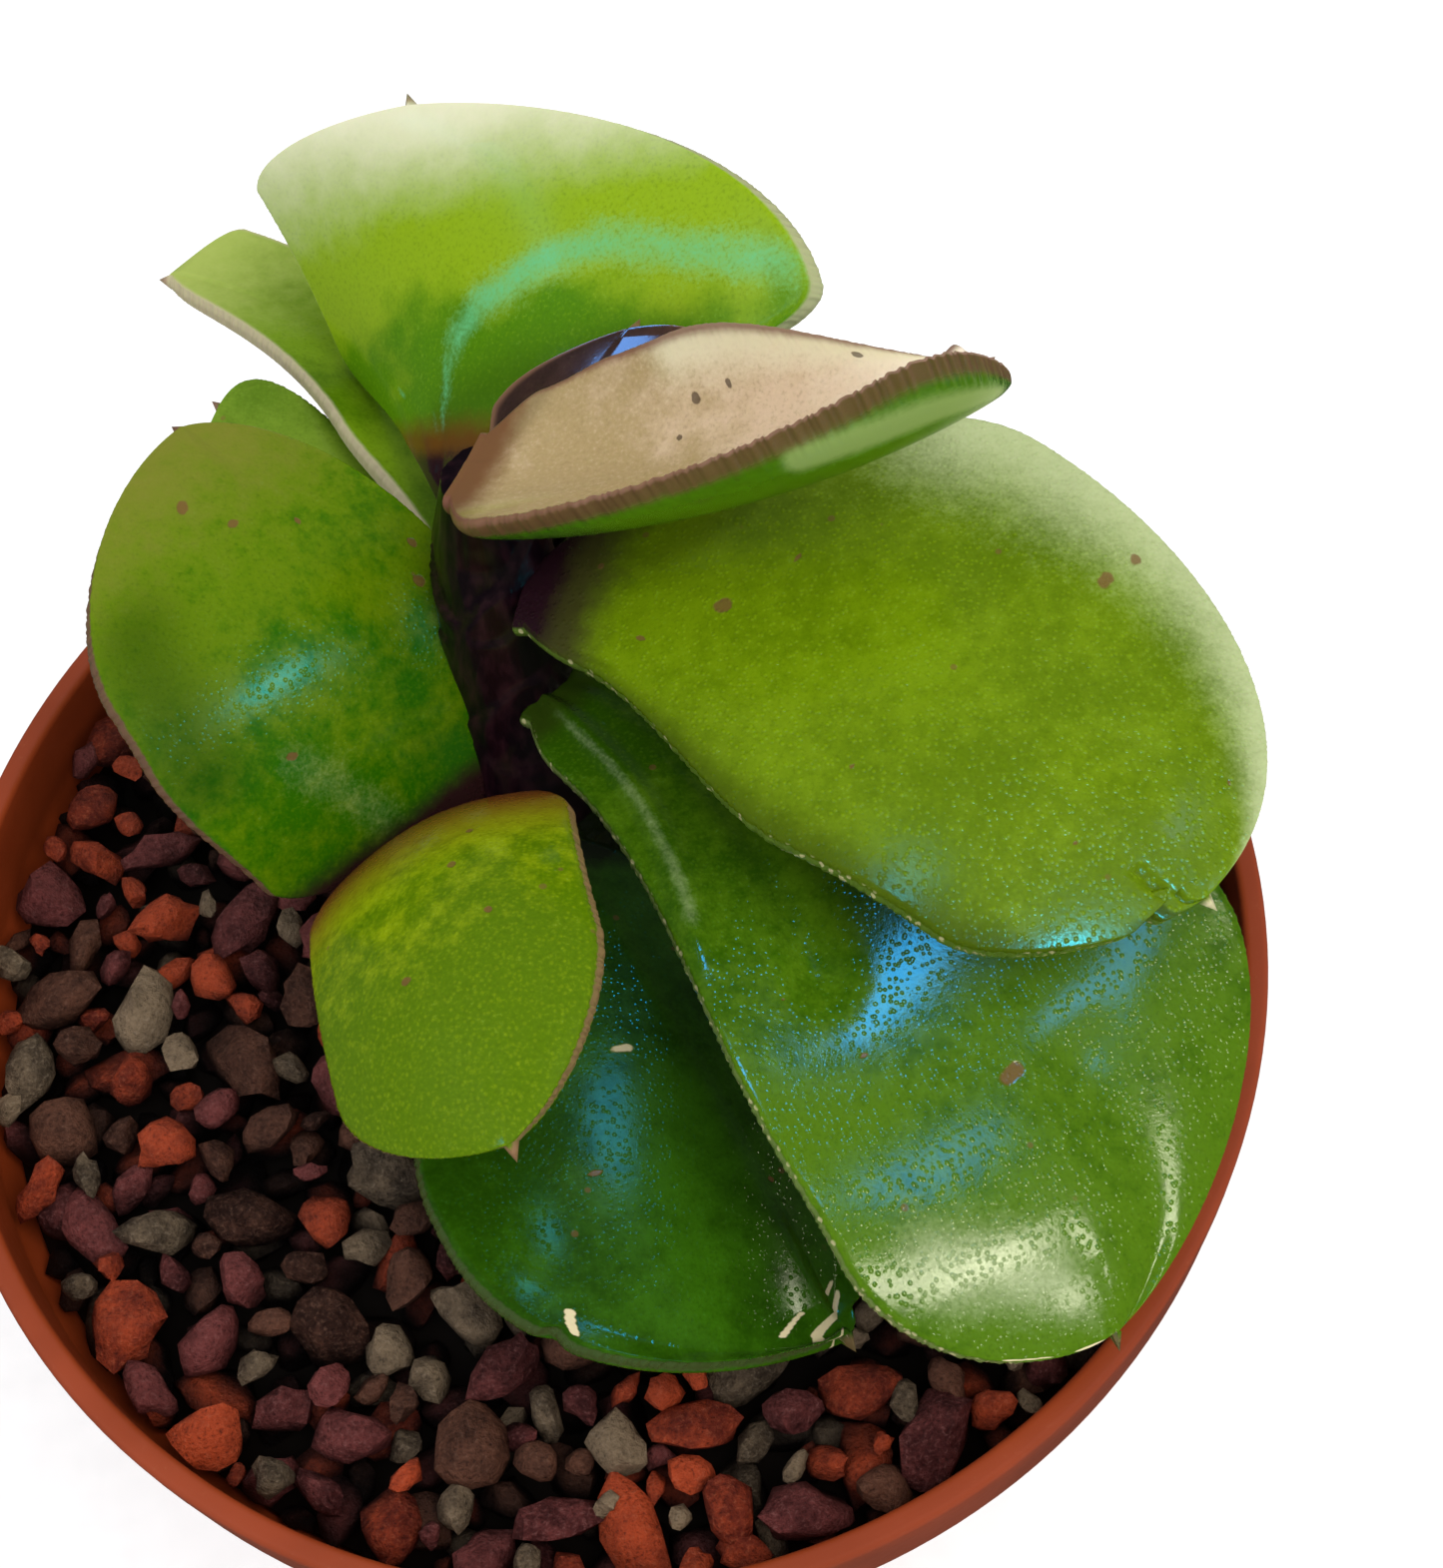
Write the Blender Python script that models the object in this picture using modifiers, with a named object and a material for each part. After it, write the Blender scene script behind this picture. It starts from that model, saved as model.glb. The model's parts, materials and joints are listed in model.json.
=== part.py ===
"""A small gasteria with broad tongue-shaped leaves, in a round plastic pot filled with grit.

The plant is a leaning main shoot with two ranks of leaves, and a young offset shoot
with a pair of leaves.  Every leaf is one closed blade worked out from its own named sizes.
Metres, +Z up, with the origin at the middle of the pot's flat underside.
"""
import math

import bmesh
import bpy
import numpy as np

MM = 0.001
NAME = "potted_gasteria"

# Pot, in millimetres
POT_HEIGHT = 82.0
RIM_RADIUS = 50.0
RIM_WIDTH = 1.8
LIP_DEPTH = 8.0
LIP_STEP = 1.2
BASE_RADIUS = 35.0
WALL = 1.3
FLOOR = 2.2
FOOT_ROUND = 1.5
DRAIN_HOLES = 6
DRAIN_RADIUS = 3.0
DRAIN_CIRCLE = 24.0
POT_SIDES = 48
WALL_FALL = (RIM_RADIUS - LIP_STEP - BASE_RADIUS) / (POT_HEIGHT - LIP_DEPTH)

# Grit filling, in millimetres
FIT_GAP = 0.3
GRIT_LEVEL = POT_HEIGHT - 6.0
GRIT_TOP = POT_HEIGHT - 3.0
HOLLOW_PLACE = (14.5, -11.0)    # the stones lie lower under the front leaf
HOLLOW_RADIUS = 11.0
HOLLOW_DEPTH = 2.3
STONES = 150
STONE_RADII = (1.9, 3.3)
STONE_SEED = 7

# Stems, in millimetres: points of the axis from root to head, the two half widths at each point
# and the heading of the first half width in degrees
MAIN_STEM = dict(axis=((-1.8, 9.5, 69.0), (-2.2, 12.5, 82.0), (-3.2, 18.6, 92.0), (-3.8, 23.0, 102.0),
                       (-3.6, 23.2, 108.6)),
                 half_widths=((5.4, 4.4), (5.6, 4.6), (5.2, 4.6), (4.0, 3.6), (2.6, 2.0)), heading=38.0)
OFFSET_STEM = dict(axis=((-12.4, 7.4, 70.0), (-11.8, 7.8, 78.0), (-10.8, 7.8, 85.5)),
                   half_widths=((2.8, 2.8), (3.4, 3.0), (2.8, 2.4)), heading=20.0)
STEM_SIDES = 16

# Leaf blades, in millimetres and degrees
MARGIN = 0.75          # half the thickness of a leaf's edge
CROWN = 0.4            # swell of the upper face over the edge
MUCRO = 1.2            # length of the point at a leaf's tip
MUCRO_HALF = 0.5       # half width of that point where it leaves the blade
HEEL = 0.1             # share of the length over which the base end narrows
ROWS = 15
COLUMNS = 9


def leaf(foot, heading, turn, length, half_width, lopsided, shoulders, bluntness, neck, widest,
         slant, rise, roll, dish, belly, tail, root=None):
    """One leaf's sizes.  Pairs are (left, right) seen from the base, or (base, tip)."""
    return dict(foot=foot, heading=heading, turn=turn, length=length, half_width=half_width,
                lopsided=lopsided, shoulders=shoulders, bluntness=bluntness, neck=neck,
                widest=widest, slant=slant, rise=rise, roll=roll, dish=dish, belly=belly, tail=tail,
                root=root)


LEAVES = {
    "leaf_front_low": leaf(
        foot=(-0.5, 6.7, 83.7), heading=-74.5, turn=9.0, length=44.9, half_width=18.0,
        lopsided=-0.25, shoulders=(0.1, 0.6), bluntness=(1.7, 2.11), neck=0.5, widest=0.56,
        slant=-0.04, rise=(0.1, 1.0), roll=(-18.9, -35.9), dish=(0.04, 0.15), belly=2.2, tail=2.0),
    "leaf_right_low": leaf(
        foot=(-0.6, 14.1, 91.5), heading=-42.0, turn=-33.4, length=64.0, half_width=19.0,
        lopsided=0.19, shoulders=(0.71, 0.76), bluntness=(1.7, 1.7), neck=0.36, widest=0.65,
        slant=-0.27, rise=(15.0, -20.0), roll=(-0.6, -13.2), dish=(-0.38, 0.06), belly=3.0, tail=1.0),
    "leaf_right_middle": leaf(
        foot=(-0.8, 17.2, 99.8), heading=-23.1, turn=-26.5, length=54.9, half_width=19.5,
        lopsided=0.28, shoulders=(0.1, 0.76), bluntness=(2.3, 1.7), neck=0.31, widest=0.51,
        slant=0.05, rise=(23.2, -20.5), roll=(4.2, 2.6), dish=(0.05, 0.1), belly=3.0, tail=1.0),
    "leaf_right_top": leaf(
        foot=(-3.4, 22.5, 109.4), heading=-24.3, turn=36.7, length=37.9, half_width=8.2,
        lopsided=-0.11, shoulders=(0.45, 0.76), bluntness=(1.7, 2.27), neck=0.82, widest=0.28,
        slant=-0.69, rise=(10.3, 20.9), roll=(-7.5, -3.3), dish=(-0.28, -1.57), belly=2.4, tail=0.5),
    "leaf_heart": leaf(
        foot=(-0.9, 23.3, 104.3), heading=40.6, turn=12.6, length=15.9, half_width=8.8,
        lopsided=-0.09, shoulders=(0.31, 0.48), bluntness=(1.97, 2.6), neck=0.66, widest=0.38,
        slant=-0.66, rise=(20.1, 16.8), roll=(-15.1, -7.6), dish=(0.13, 0.08), belly=1.0, tail=0.5),
    "leaf_back_top": leaf(
        foot=(-7.2, 33.7, 94.6), heading=70.9, turn=35.0, length=30.8, half_width=24.0,
        lopsided=-0.25, shoulders=(0.81, 0.38), bluntness=(1.7, 1.75), neck=0.31, widest=0.39,
        slant=0.44, rise=(29.2, 21.1), roll=(-44.7, -33.9), dish=(0.38, 0.01), belly=1.6, tail=12.0,
        root=(-3.4, 23.2, 90.6)),
    "leaf_back_middle": leaf(
        foot=(-7.5, 27.1, 86.7), heading=85.9, turn=72.6, length=50.1, half_width=7.2,
        lopsided=0.0, shoulders=(0.3, 0.92), bluntness=(1.71, 1.88), neck=0.31, widest=0.39,
        slant=0.17, rise=(-3.7, -1.8), roll=(30.0, 16.6), dish=(-0.02, -0.27), belly=1.4, tail=7.0,
        root=(-4.6, 20.4, 86.0)),
    "leaf_back_low": leaf(
        foot=(-4.6, 17.3, 81.2), heading=121.8, turn=5.5, length=40.4, half_width=10.9,
        lopsided=0.4, shoulders=(0.46, 0.68), bluntness=(2.48, 2.69), neck=0.32, widest=0.37,
        slant=-0.52, rise=(10.0, 6.6), roll=(8.5, -0.1), dish=(0.1, 0.11), belly=2.2, tail=3.0),
    "offset_leaf_back": leaf(
        foot=(-11.2, 8.7, 85.8), heading=103.4, turn=29.9, length=37.6, half_width=15.7,
        lopsided=0.22, shoulders=(0.54, 0.29), bluntness=(1.72, 1.7), neck=0.75, widest=0.4,
        slant=-0.07, rise=(69.1, -4.8), roll=(27.4, 18.8), dish=(-0.01, 0.1), belly=3.0, tail=1.0),
    "offset_leaf_front": leaf(
        foot=(-9.3, 5.7, 89.8), heading=-88.1, turn=10.8, length=37.1, half_width=10.7,
        lopsided=-0.12, shoulders=(0.62, 0.74), bluntness=(1.7, 1.97), neck=0.74, widest=0.22,
        slant=-0.04, rise=(62.7, -20.6), roll=(13.4, 14.0), dish=(0.2, 0.35), belly=2.5, tail=1.0),
}

LEAF_COLOURS = {
    "leaf_front_low": (0.03, 0.09, 0.03), "leaf_right_low": (0.16, 0.27, 0.06),
    "leaf_right_middle": (0.22, 0.33, 0.05), "leaf_right_top": (0.33, 0.22, 0.10),
    "leaf_heart": (0.10, 0.07, 0.05), "leaf_back_top": (0.20, 0.38, 0.10),
    "leaf_back_middle": (0.12, 0.22, 0.06), "leaf_back_low": (0.10, 0.20, 0.06),
    "offset_leaf_back": (0.10, 0.20, 0.05), "offset_leaf_front": (0.06, 0.16, 0.04),
}


def collection(name):
    """A new collection linked to the scene."""
    made = bpy.data.collections.new(name)
    bpy.context.scene.collection.children.link(made)
    return made


def material(name, colour, roughness):
    """A plain Principled material."""
    made = bpy.data.materials.new(name)
    made.use_nodes = True
    shader = made.node_tree.nodes["Principled BSDF"]
    shader.inputs["Base Color"].default_value = (*colour, 1.0)
    shader.inputs["Roughness"].default_value = roughness
    made.diffuse_color = (*colour, 1.0)
    return made


def put(name, mesh, home, look=None, smooth=True):
    """An object made from a mesh, in a collection, with its material."""
    for face in mesh.polygons:
        face.use_smooth = smooth
    if look:
        mesh.materials.append(look)
    made = bpy.data.objects.new(name, mesh)
    home.objects.link(made)
    return made


def lofted(name, rings, tip=None):
    """A closed mesh through rings of equal count, capped at the start and at the end or a tip point."""
    count = len(rings[0])
    points = [p for ring in rings for p in ring]
    faces = []
    for row in range(len(rings) - 1):
        low, high = row * count, (row + 1) * count
        for k in range(count):
            n = (k + 1) % count
            faces.append((low + k, low + n, high + n, high + k))
    faces.append(tuple(range(count - 1, -1, -1)))
    last = (len(rings) - 1) * count
    if tip is None:
        faces.append(tuple(range(last, last + count)))
    else:
        points.append(tip)
        faces.extend((last + k, last + (k + 1) % count, len(points) - 1) for k in range(count))
    mesh = bpy.data.meshes.new(name)
    mesh.from_pydata([tuple(float(c) * MM for c in p) for p in points], [], faces)
    shape = bmesh.new()
    shape.from_mesh(mesh)
    bmesh.ops.recalc_face_normals(shape, faces=shape.faces)
    shape.to_mesh(mesh)
    shape.free()
    return mesh


def turned(name, profile, home, look, steps):
    """A profile of (radius, height) points in millimetres turned about Z by a Screw modifier."""
    mesh = bpy.data.meshes.new(name)
    points = [(r * MM, 0.0, z * MM) for r, z in profile]
    mesh.from_pydata(points, [(k, k + 1) for k in range(len(points) - 1)], [])
    made = put(name, mesh, home, look)
    turn = made.modifiers.new("turn", "SCREW")
    turn.axis = "Z"
    turn.steps = steps
    turn.render_steps = steps
    turn.use_merge_vertices = True
    turn.merge_threshold = 0.00005
    return made


def cut(target, cutter):
    """Take one closed solid out of another."""
    step = target.modifiers.new("cut_" + cutter.name, "BOOLEAN")
    step.operation = "DIFFERENCE"
    step.object = cutter
    step.solver = "EXACT"
    return step


def hide(cutter):
    """Keep a cutter out of the picture."""
    cutter.hide_render = True
    cutter.display_type = "WIRE"


def stem_mesh(name, sizes, spare=0.0):
    """An elliptical column along the stem's axis, grown by a spare width all round."""
    rings = []
    turn = math.radians(sizes["heading"])
    axis = sizes["axis"]
    for at, (point, halves) in enumerate(zip(axis, sizes["half_widths"])):
        height = point[2] + spare * ((at == len(axis) - 1) - (at == 0))
        ring = []
        for k in range(STEM_SIDES):
            a = 2 * math.pi * k / STEM_SIDES
            x = (halves[0] + spare) * math.cos(a)
            y = (halves[1] + spare) * math.sin(a)
            ring.append((point[0] + x * math.cos(turn) - y * math.sin(turn),
                         point[1] + x * math.sin(turn) + y * math.cos(turn), height))
        rings.append(ring)
    return lofted(name, rings)


def ease(t):
    """A soft step from 0 to 1."""
    t = np.clip(t, 0.0, 1.0)
    return t * t * (3 - 2 * t)


def midrib(size, u):
    """Point, forward, left and up directions at shares u of a leaf's length.

    The heading and the rise change evenly from base to tip, and the blade rolls about the
    midrib.  Shares under 0 run straight back from the foot, or straight to the root if it has one.
    """
    fine = np.linspace(0.0, 1.0, 160)
    inside = np.clip(u, 0.0, 1.0)

    def forward(s):
        a = np.radians(size["heading"] + size["turn"] * s)
        b = np.radians(size["rise"][0] + (size["rise"][1] - size["rise"][0]) * s)
        return np.stack([np.cos(b) * np.cos(a), np.cos(b) * np.sin(a), np.sin(b)], -1), a

    way = forward(fine)[0]
    path = np.vstack([np.zeros(3), np.cumsum((way[1:] + way[:-1]) / 2, axis=0) / 159])
    point = np.stack([np.interp(inside, fine, path[:, k]) for k in range(3)], -1)
    ahead, a = forward(inside)
    back = ahead
    if size["root"] is not None:
        back = (np.array(size["foot"]) - np.array(size["root"])) / size["tail"]
    point = point + (u - inside)[..., None] * back
    level = np.stack([-np.sin(a), np.cos(a), 0 * a], -1)
    upright = np.cross(ahead, level)
    r = np.radians(size["roll"][0] + (size["roll"][1] - size["roll"][0]) * inside)[..., None]
    left = np.cos(r) * level + np.sin(r) * upright
    up = -np.sin(r) * level + np.cos(r) * upright
    return np.array(size["foot"]) + point * size["length"], ahead, left, up


def half_width(size, u, side):
    """Half width at shares u of the length, on the left (0) or on the right (1).

    It grows from the neck to the widest share, then closes as a superellipse from the
    shoulder to the point at the tip.
    """
    end = 1.0 - MUCRO / size["length"]
    grow = size["neck"] + (1 - size["neck"]) * ease(u / size["widest"])
    heel = 1 - 0.45 * (1 - np.clip(u / HEEL, 0, 1)) ** 2
    power = size["bluntness"][side]
    t = np.clip((u - size["shoulders"][side]) / (end - size["shoulders"][side]), 0.0, 1.0)
    share = size["half_width"] * (1 + size["lopsided"] * (1 - 2 * side))
    return np.maximum(heel * grow * (1 - t ** power) ** (1 / power) * share, MUCRO_HALF)


def blade(size, u, v):
    """Upper and lower surface points at shares u along and v across (-1 right edge, 1 left edge)."""
    point, ahead, left, up = midrib(size, u)
    w = np.where(v > 0, half_width(size, u, 0), half_width(size, u, 1))
    across = w * v
    full = size["half_width"]
    inside = np.clip(u, 0.0, 1.0)
    drop = -(size["dish"][0] + (size["dish"][1] - size["dish"][0]) * inside) * (across / full) ** 2 * full
    middle = (point + across[..., None] * left + drop[..., None] * up
              + (size["slant"] * across * inside ** 2)[..., None] * ahead)
    from_edge = np.minimum((1 - np.abs(v)) * w / MARGIN, 1.0)
    edge = MARGIN * np.sqrt(1 - (1 - from_edge) ** 2)
    swell = (1 - v ** 2) * np.minimum(1.4 * w / full, 1.0)
    upper = middle + (edge + CROWN * swell)[..., None] * up
    lower = middle - (edge + size["belly"] * swell * (1 - 0.5 * inside))[..., None] * up
    return upper, lower


def leaf_mesh(name, size):
    """One leaf as a closed blade with a short point at its tip."""
    end = 1.0 - MUCRO / size["length"]
    rows = end * (1 - (1 - np.linspace(0.0, 1.0, ROWS)) ** 1.7)
    rows = np.concatenate([[-size["tail"] / size["length"]], rows])
    shares = np.sin(np.linspace(-math.pi / 2, math.pi / 2, COLUMNS))
    u, v = np.meshgrid(rows, shares, indexing="ij")
    upper, lower = blade(size, u, v)
    rings = [list(upper[k]) + list(lower[k][-2:0:-1]) for k in range(len(rows))]
    tip = midrib(size, np.array([1.0]))[0][0]
    return lofted(name, rings, tip)


def inner_radius(z):
    """Inside radius of the pot's wall at a height between the floor and the rim band."""
    return BASE_RADIUS - WALL + WALL_FALL * z


def pot(home, cutters):
    """The pot: a thin tapering wall, a stepped rim band and a flat floor with drain holes."""
    band = POT_HEIGHT - LIP_DEPTH
    inner = RIM_RADIUS - RIM_WIDTH
    profile = [(0.0, FLOOR), (inner_radius(FLOOR) - 1.0, FLOOR), (inner_radius(FLOOR + 1.0), FLOOR + 1.0),
               (inner_radius(band - 1.0), band - 1.0), (inner, band + 0.5),
               (inner, POT_HEIGHT - 0.4), (inner + 0.4, POT_HEIGHT), (RIM_RADIUS - 0.5, POT_HEIGHT),
               (RIM_RADIUS, POT_HEIGHT - 0.5), (RIM_RADIUS - 0.2, band), (RIM_RADIUS - LIP_STEP, band),
               (BASE_RADIUS + WALL_FALL * FOOT_ROUND, FOOT_ROUND), (BASE_RADIUS - FOOT_ROUND, 0.0),
               (0.0, 0.0)]
    made = turned("pot", profile, home, material("terracotta plastic", (0.55, 0.16, 0.05), 0.45), POT_SIDES)
    for k in range(DRAIN_HOLES):
        a = 2 * math.pi * k / DRAIN_HOLES
        ring = bmesh.new()
        bmesh.ops.create_cone(ring, cap_ends=True, segments=12, radius1=DRAIN_RADIUS * MM,
                              radius2=DRAIN_RADIUS * MM, depth=3 * FLOOR * MM)
        mesh = bpy.data.meshes.new("drain_%d" % k)
        ring.to_mesh(mesh)
        ring.free()
        drill = put("drain_%d" % k, mesh, cutters, smooth=False)
        drill.location = (DRAIN_CIRCLE * MM * math.cos(a), DRAIN_CIRCLE * MM * math.sin(a), FLOOR * MM / 2)
        hide(drill)
        cut(made, drill)
    return made


def stone_mesh(name, radius, rng):
    """A rough stone of twenty flat faces, squashed and turned by the seeded generator."""
    shape = bmesh.new()
    bmesh.ops.create_icosphere(shape, subdivisions=1, radius=radius * MM)
    squash = rng.uniform(0.72, 1.12, 3)
    for vert in shape.verts:
        vert.co *= rng.uniform(0.85, 1.1)
        vert.co.x *= squash[0]
        vert.co.y *= squash[1]
        vert.co.z *= squash[2]
    mesh = bpy.data.meshes.new(name)
    shape.to_mesh(mesh)
    shape.free()
    return mesh


def hollow(x, y):
    """How far the stones lie lower at a place: a bell round the hollow under the front leaf."""
    far = math.hypot(x - HOLLOW_PLACE[0], y - HOLLOW_PLACE[1])
    return HOLLOW_DEPTH * math.exp(-(far / HOLLOW_RADIUS) ** 2)


def stone_spots(rng):
    """Centres and radii of stones scattered without piling up, largest first."""
    radii = np.sort(rng.uniform(*STONE_RADII, STONES))[::-1]
    spots = []
    for radius in radii:
        best, best_room = None, -1e9
        for _ in range(24):
            far = (inner_radius(GRIT_LEVEL) - 0.8 - 1.3 * radius) * math.sqrt(rng.uniform())
            a = rng.uniform(0, 2 * math.pi)
            x, y = far * math.cos(a), far * math.sin(a)
            room = min([math.hypot(x - p[0], y - p[1]) - radius - p[3] for p in spots], default=9.0)
            if room > best_room:
                best, best_room = (x, y), room
        z = min(GRIT_LEVEL + rng.uniform(-0.45, 0.15) * radius, GRIT_TOP - 1.15 * radius)
        spots.append((*best, z - hollow(*best), radius))
    return spots


def grit(home, cutters):
    """The grit filling: one bed with its stones fused in, and plain holes for the two stems."""
    top, low = GRIT_LEVEL, FLOOR + FIT_GAP
    band = POT_HEIGHT - LIP_DEPTH
    side = RIM_RADIUS - RIM_WIDTH - FIT_GAP
    profile = [(0.0, top), (side - 0.6, top), (side, top - 0.6), (side, band + 0.5),
               (inner_radius(band - 1.0) - FIT_GAP, band - 1.0),
               (inner_radius(low + 1.5) - FIT_GAP, low + 1.5), (inner_radius(low) - FIT_GAP - 1.2, low),
               (0.0, low)]
    bed = turned("grit_bed", profile, home, material("volcanic grit", (0.16, 0.08, 0.06), 0.9), POT_SIDES)
    rng = np.random.default_rng(STONE_SEED)
    stones = collection("stones")
    for k, (x, y, z, radius) in enumerate(stone_spots(rng)):
        stone = put("stone_%d" % k, stone_mesh("stone_%d" % k, radius, rng), stones, smooth=False)
        stone.location = (x * MM, y * MM, z * MM)
        stone.rotation_euler = tuple(rng.uniform(0, math.pi, 3))
    step = bed.modifiers.new("fuse_stones", "BOOLEAN")
    step.operation = "UNION"
    step.operand_type = "COLLECTION"
    step.collection = stones
    step.solver = "EXACT"
    bpy.context.view_layer.update()
    solid = bpy.data.meshes.new_from_object(bed.evaluated_get(bpy.context.evaluated_depsgraph_get()))
    bed.modifiers.clear()
    bed.data = solid
    for stone in list(stones.objects):
        bpy.data.objects.remove(stone, do_unlink=True)
    bpy.data.collections.remove(stones)
    for face in bed.data.polygons:
        face.use_smooth = False
    for name, sizes in (("main_stem_hole", MAIN_STEM), ("offset_stem_hole", OFFSET_STEM)):
        hole = put(name, stem_mesh(name, sizes, FIT_GAP), cutters)
        hide(hole)
        cut(bed, hole)
    return bed


def build():
    """Clear the scene and make every piece."""
    for old in list(bpy.data.objects):
        bpy.data.objects.remove(old, do_unlink=True)
    home = collection(NAME)
    cutters = collection("cutters")
    pot(home, cutters)
    grit(home, cutters)
    sheath = material("stem sheath", (0.10, 0.03, 0.04), 0.6)
    put("main_stem", stem_mesh("main_stem", MAIN_STEM), home, sheath)
    put("offset_stem", stem_mesh("offset_stem", OFFSET_STEM), home,
        material("offset sheath", (0.12, 0.05, 0.05), 0.6))
    around = {name: bpy.data.objects[name + "_hole"] for name in ("main_stem", "offset_stem")}
    for name, size in LEAVES.items():
        made = put(name, leaf_mesh(name, size), home, material(name + " skin", LEAF_COLOURS[name], 0.35))
        for stem in around.values():
            cut(made, stem)


build()
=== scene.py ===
"""The looks of a small potted gasteria: waxy leaves, sheathed stems, lava grit and a plastic pot.

Shapes are worked out in millimetres with numpy and stored in metres.
"""
import json
import math

import bmesh
import bpy
import numpy as np
from mathutils import Matrix, Vector

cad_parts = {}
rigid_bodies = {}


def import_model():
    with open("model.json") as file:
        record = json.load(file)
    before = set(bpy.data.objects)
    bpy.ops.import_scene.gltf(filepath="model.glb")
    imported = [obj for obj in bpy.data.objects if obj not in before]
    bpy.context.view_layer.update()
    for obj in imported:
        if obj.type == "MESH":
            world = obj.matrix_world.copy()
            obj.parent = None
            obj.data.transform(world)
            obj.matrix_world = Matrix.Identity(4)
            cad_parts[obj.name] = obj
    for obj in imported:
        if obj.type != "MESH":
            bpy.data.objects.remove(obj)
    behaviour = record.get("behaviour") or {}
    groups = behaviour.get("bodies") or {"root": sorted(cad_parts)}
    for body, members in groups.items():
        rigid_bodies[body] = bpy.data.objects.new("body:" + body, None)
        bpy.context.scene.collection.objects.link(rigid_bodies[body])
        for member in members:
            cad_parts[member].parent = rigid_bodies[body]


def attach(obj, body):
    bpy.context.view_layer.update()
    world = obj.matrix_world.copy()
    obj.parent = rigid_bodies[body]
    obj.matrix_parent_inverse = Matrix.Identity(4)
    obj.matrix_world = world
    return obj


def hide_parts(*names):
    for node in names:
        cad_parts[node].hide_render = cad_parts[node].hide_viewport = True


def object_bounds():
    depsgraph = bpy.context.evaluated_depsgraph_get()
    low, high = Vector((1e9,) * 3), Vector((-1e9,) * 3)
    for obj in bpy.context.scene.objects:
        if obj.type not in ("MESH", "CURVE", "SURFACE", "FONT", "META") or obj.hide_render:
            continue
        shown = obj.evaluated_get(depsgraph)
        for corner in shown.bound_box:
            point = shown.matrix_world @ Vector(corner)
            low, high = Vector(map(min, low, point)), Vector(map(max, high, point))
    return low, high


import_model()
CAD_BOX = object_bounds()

MM = 0.001

# Camera, in metres and degrees
CAMERA_PLACE = (0.01083, -0.07904, 0.24459)
CAMERA_ELEVATION = 61.179
CAMERA_ROLL = -7.48
CAMERA_FOCUS = 2400.0      # focal length in pixels of the photograph
PHOTO_HEIGHT = 1570        # in pixels
SENSOR = 36.0              # in millimetres

# Studio
SKY_LIGHT = (0.70, 0.71, 0.73)
FLOOR_HALF = 8.0           # half the floor's side in metres
LOOK_HEIGHT = 0.09         # the lights' aim above the floor in metres

# Pot and grit, in millimetres
POT_HEIGHT = 82.0
RIM_RADIUS = 50.0
RIM_WIDTH = 1.8
LIP_DEPTH = 8.0
LIP_STEP = 1.2
BASE_RADIUS = 35.0
WALL = 1.3
FLOOR = 2.2
FOOT_ROUND = 1.5
DRAIN_HOLES = 6
DRAIN_RADIUS = 3.0
DRAIN_CIRCLE = 24.0
WALL_FALL = (RIM_RADIUS - LIP_STEP - BASE_RADIUS) / (POT_HEIGHT - LIP_DEPTH)
FIT_GAP = 0.3
STONE_REACH = 47.8         # the stones' farthest point from the middle
BED_TOP = 73.2             # near-black fill under the loose stones, its colour painted shade in their gaps
STONE_TOP = 78.8           # the stones' highest point
HOLLOW_PLACE = (14.5, -11.0)    # the stones lie lower under the front leaf
HOLLOW_RADIUS = 11.0
HOLLOW_DEPTH = 2.3
STEM_ROOMS = ((-2.0, 11.4, 5.2), (-12.1, 7.6, 3.2))     # place and radius of the stems in the grit
STONE_TRIES = 40           # places tried for each stone
STONE_PLANES = 10          # planes that cut a stone
STONE_CORNERS = 14         # how crisp the edges between the planes are

# Stems, in millimetres: axis points from root to head, half widths there and their heading
MAIN_STEM = dict(axis=((-1.8, 9.5, 69.0), (-2.2, 12.5, 82.0), (-3.2, 18.6, 92.0), (-3.8, 23.0, 102.0),
                       (-3.6, 23.2, 108.6)),
                 half_widths=((5.4, 4.4), (5.6, 4.6), (5.2, 4.6), (4.0, 3.6), (2.6, 2.0)), heading=38.0)
OFFSET_STEM = dict(axis=((-12.4, 7.4, 70.0), (-11.8, 7.8, 78.0), (-10.8, 7.8, 85.5)),
                   half_widths=((2.8, 2.8), (3.4, 3.0), (2.8, 2.4)), heading=20.0)

# Collars of the sheaths: heading of the leaf, height and tilt of the collar's edge
MAIN_COLLARS = ((-75, 84.0, 2.5), (-45, 91.0, 3.5), (-23, 99.0, 4.0), (100, 91.0, 3.5), (70, 101.0, 3.5))
OFFSET_COLLARS = ((103, 82.5, 1.8), (-88, 84.0, 1.8))

# Leaf blades, in millimetres
MARGIN = 0.75              # half thickness of the margin
CROWN = 0.4                # how far the upper face swells over the margin
MUCRO = 1.2                # length of the point at the tip
MUCRO_HALF = 0.5           # its half width
HEEL = 0.1                 # share of the length along which the foot narrows
RIPPLE = 0.025
INSET = 0.2                # keeps the finer outline inside the solid's
ARCH_REACH = 25.0          # distance from the crest at which an arch's drop is measured
ARCH_MOST = 1.8            # an arch's greatest drop
ROWS = 300
TAIL_ROWS = 7              # rows of the straight part behind the foot
COLUMNS = 61               # points across each face
MIDRIB_POINTS = 160


def leaf(foot, heading, turn, length, half_width, lopsided, shoulders, bluntness, neck, widest,
         slant, rise, roll, dish, belly, tail, root=None):
    """One leaf's sizes.  Pairs are (left, right) seen from the base, or (base, tip)."""
    return dict(foot=foot, heading=heading, turn=turn, length=length, half_width=half_width,
                lopsided=lopsided, shoulders=shoulders, bluntness=bluntness, neck=neck,
                widest=widest, slant=slant, rise=rise, roll=roll, dish=dish, belly=belly, tail=tail,
                root=root)


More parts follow.
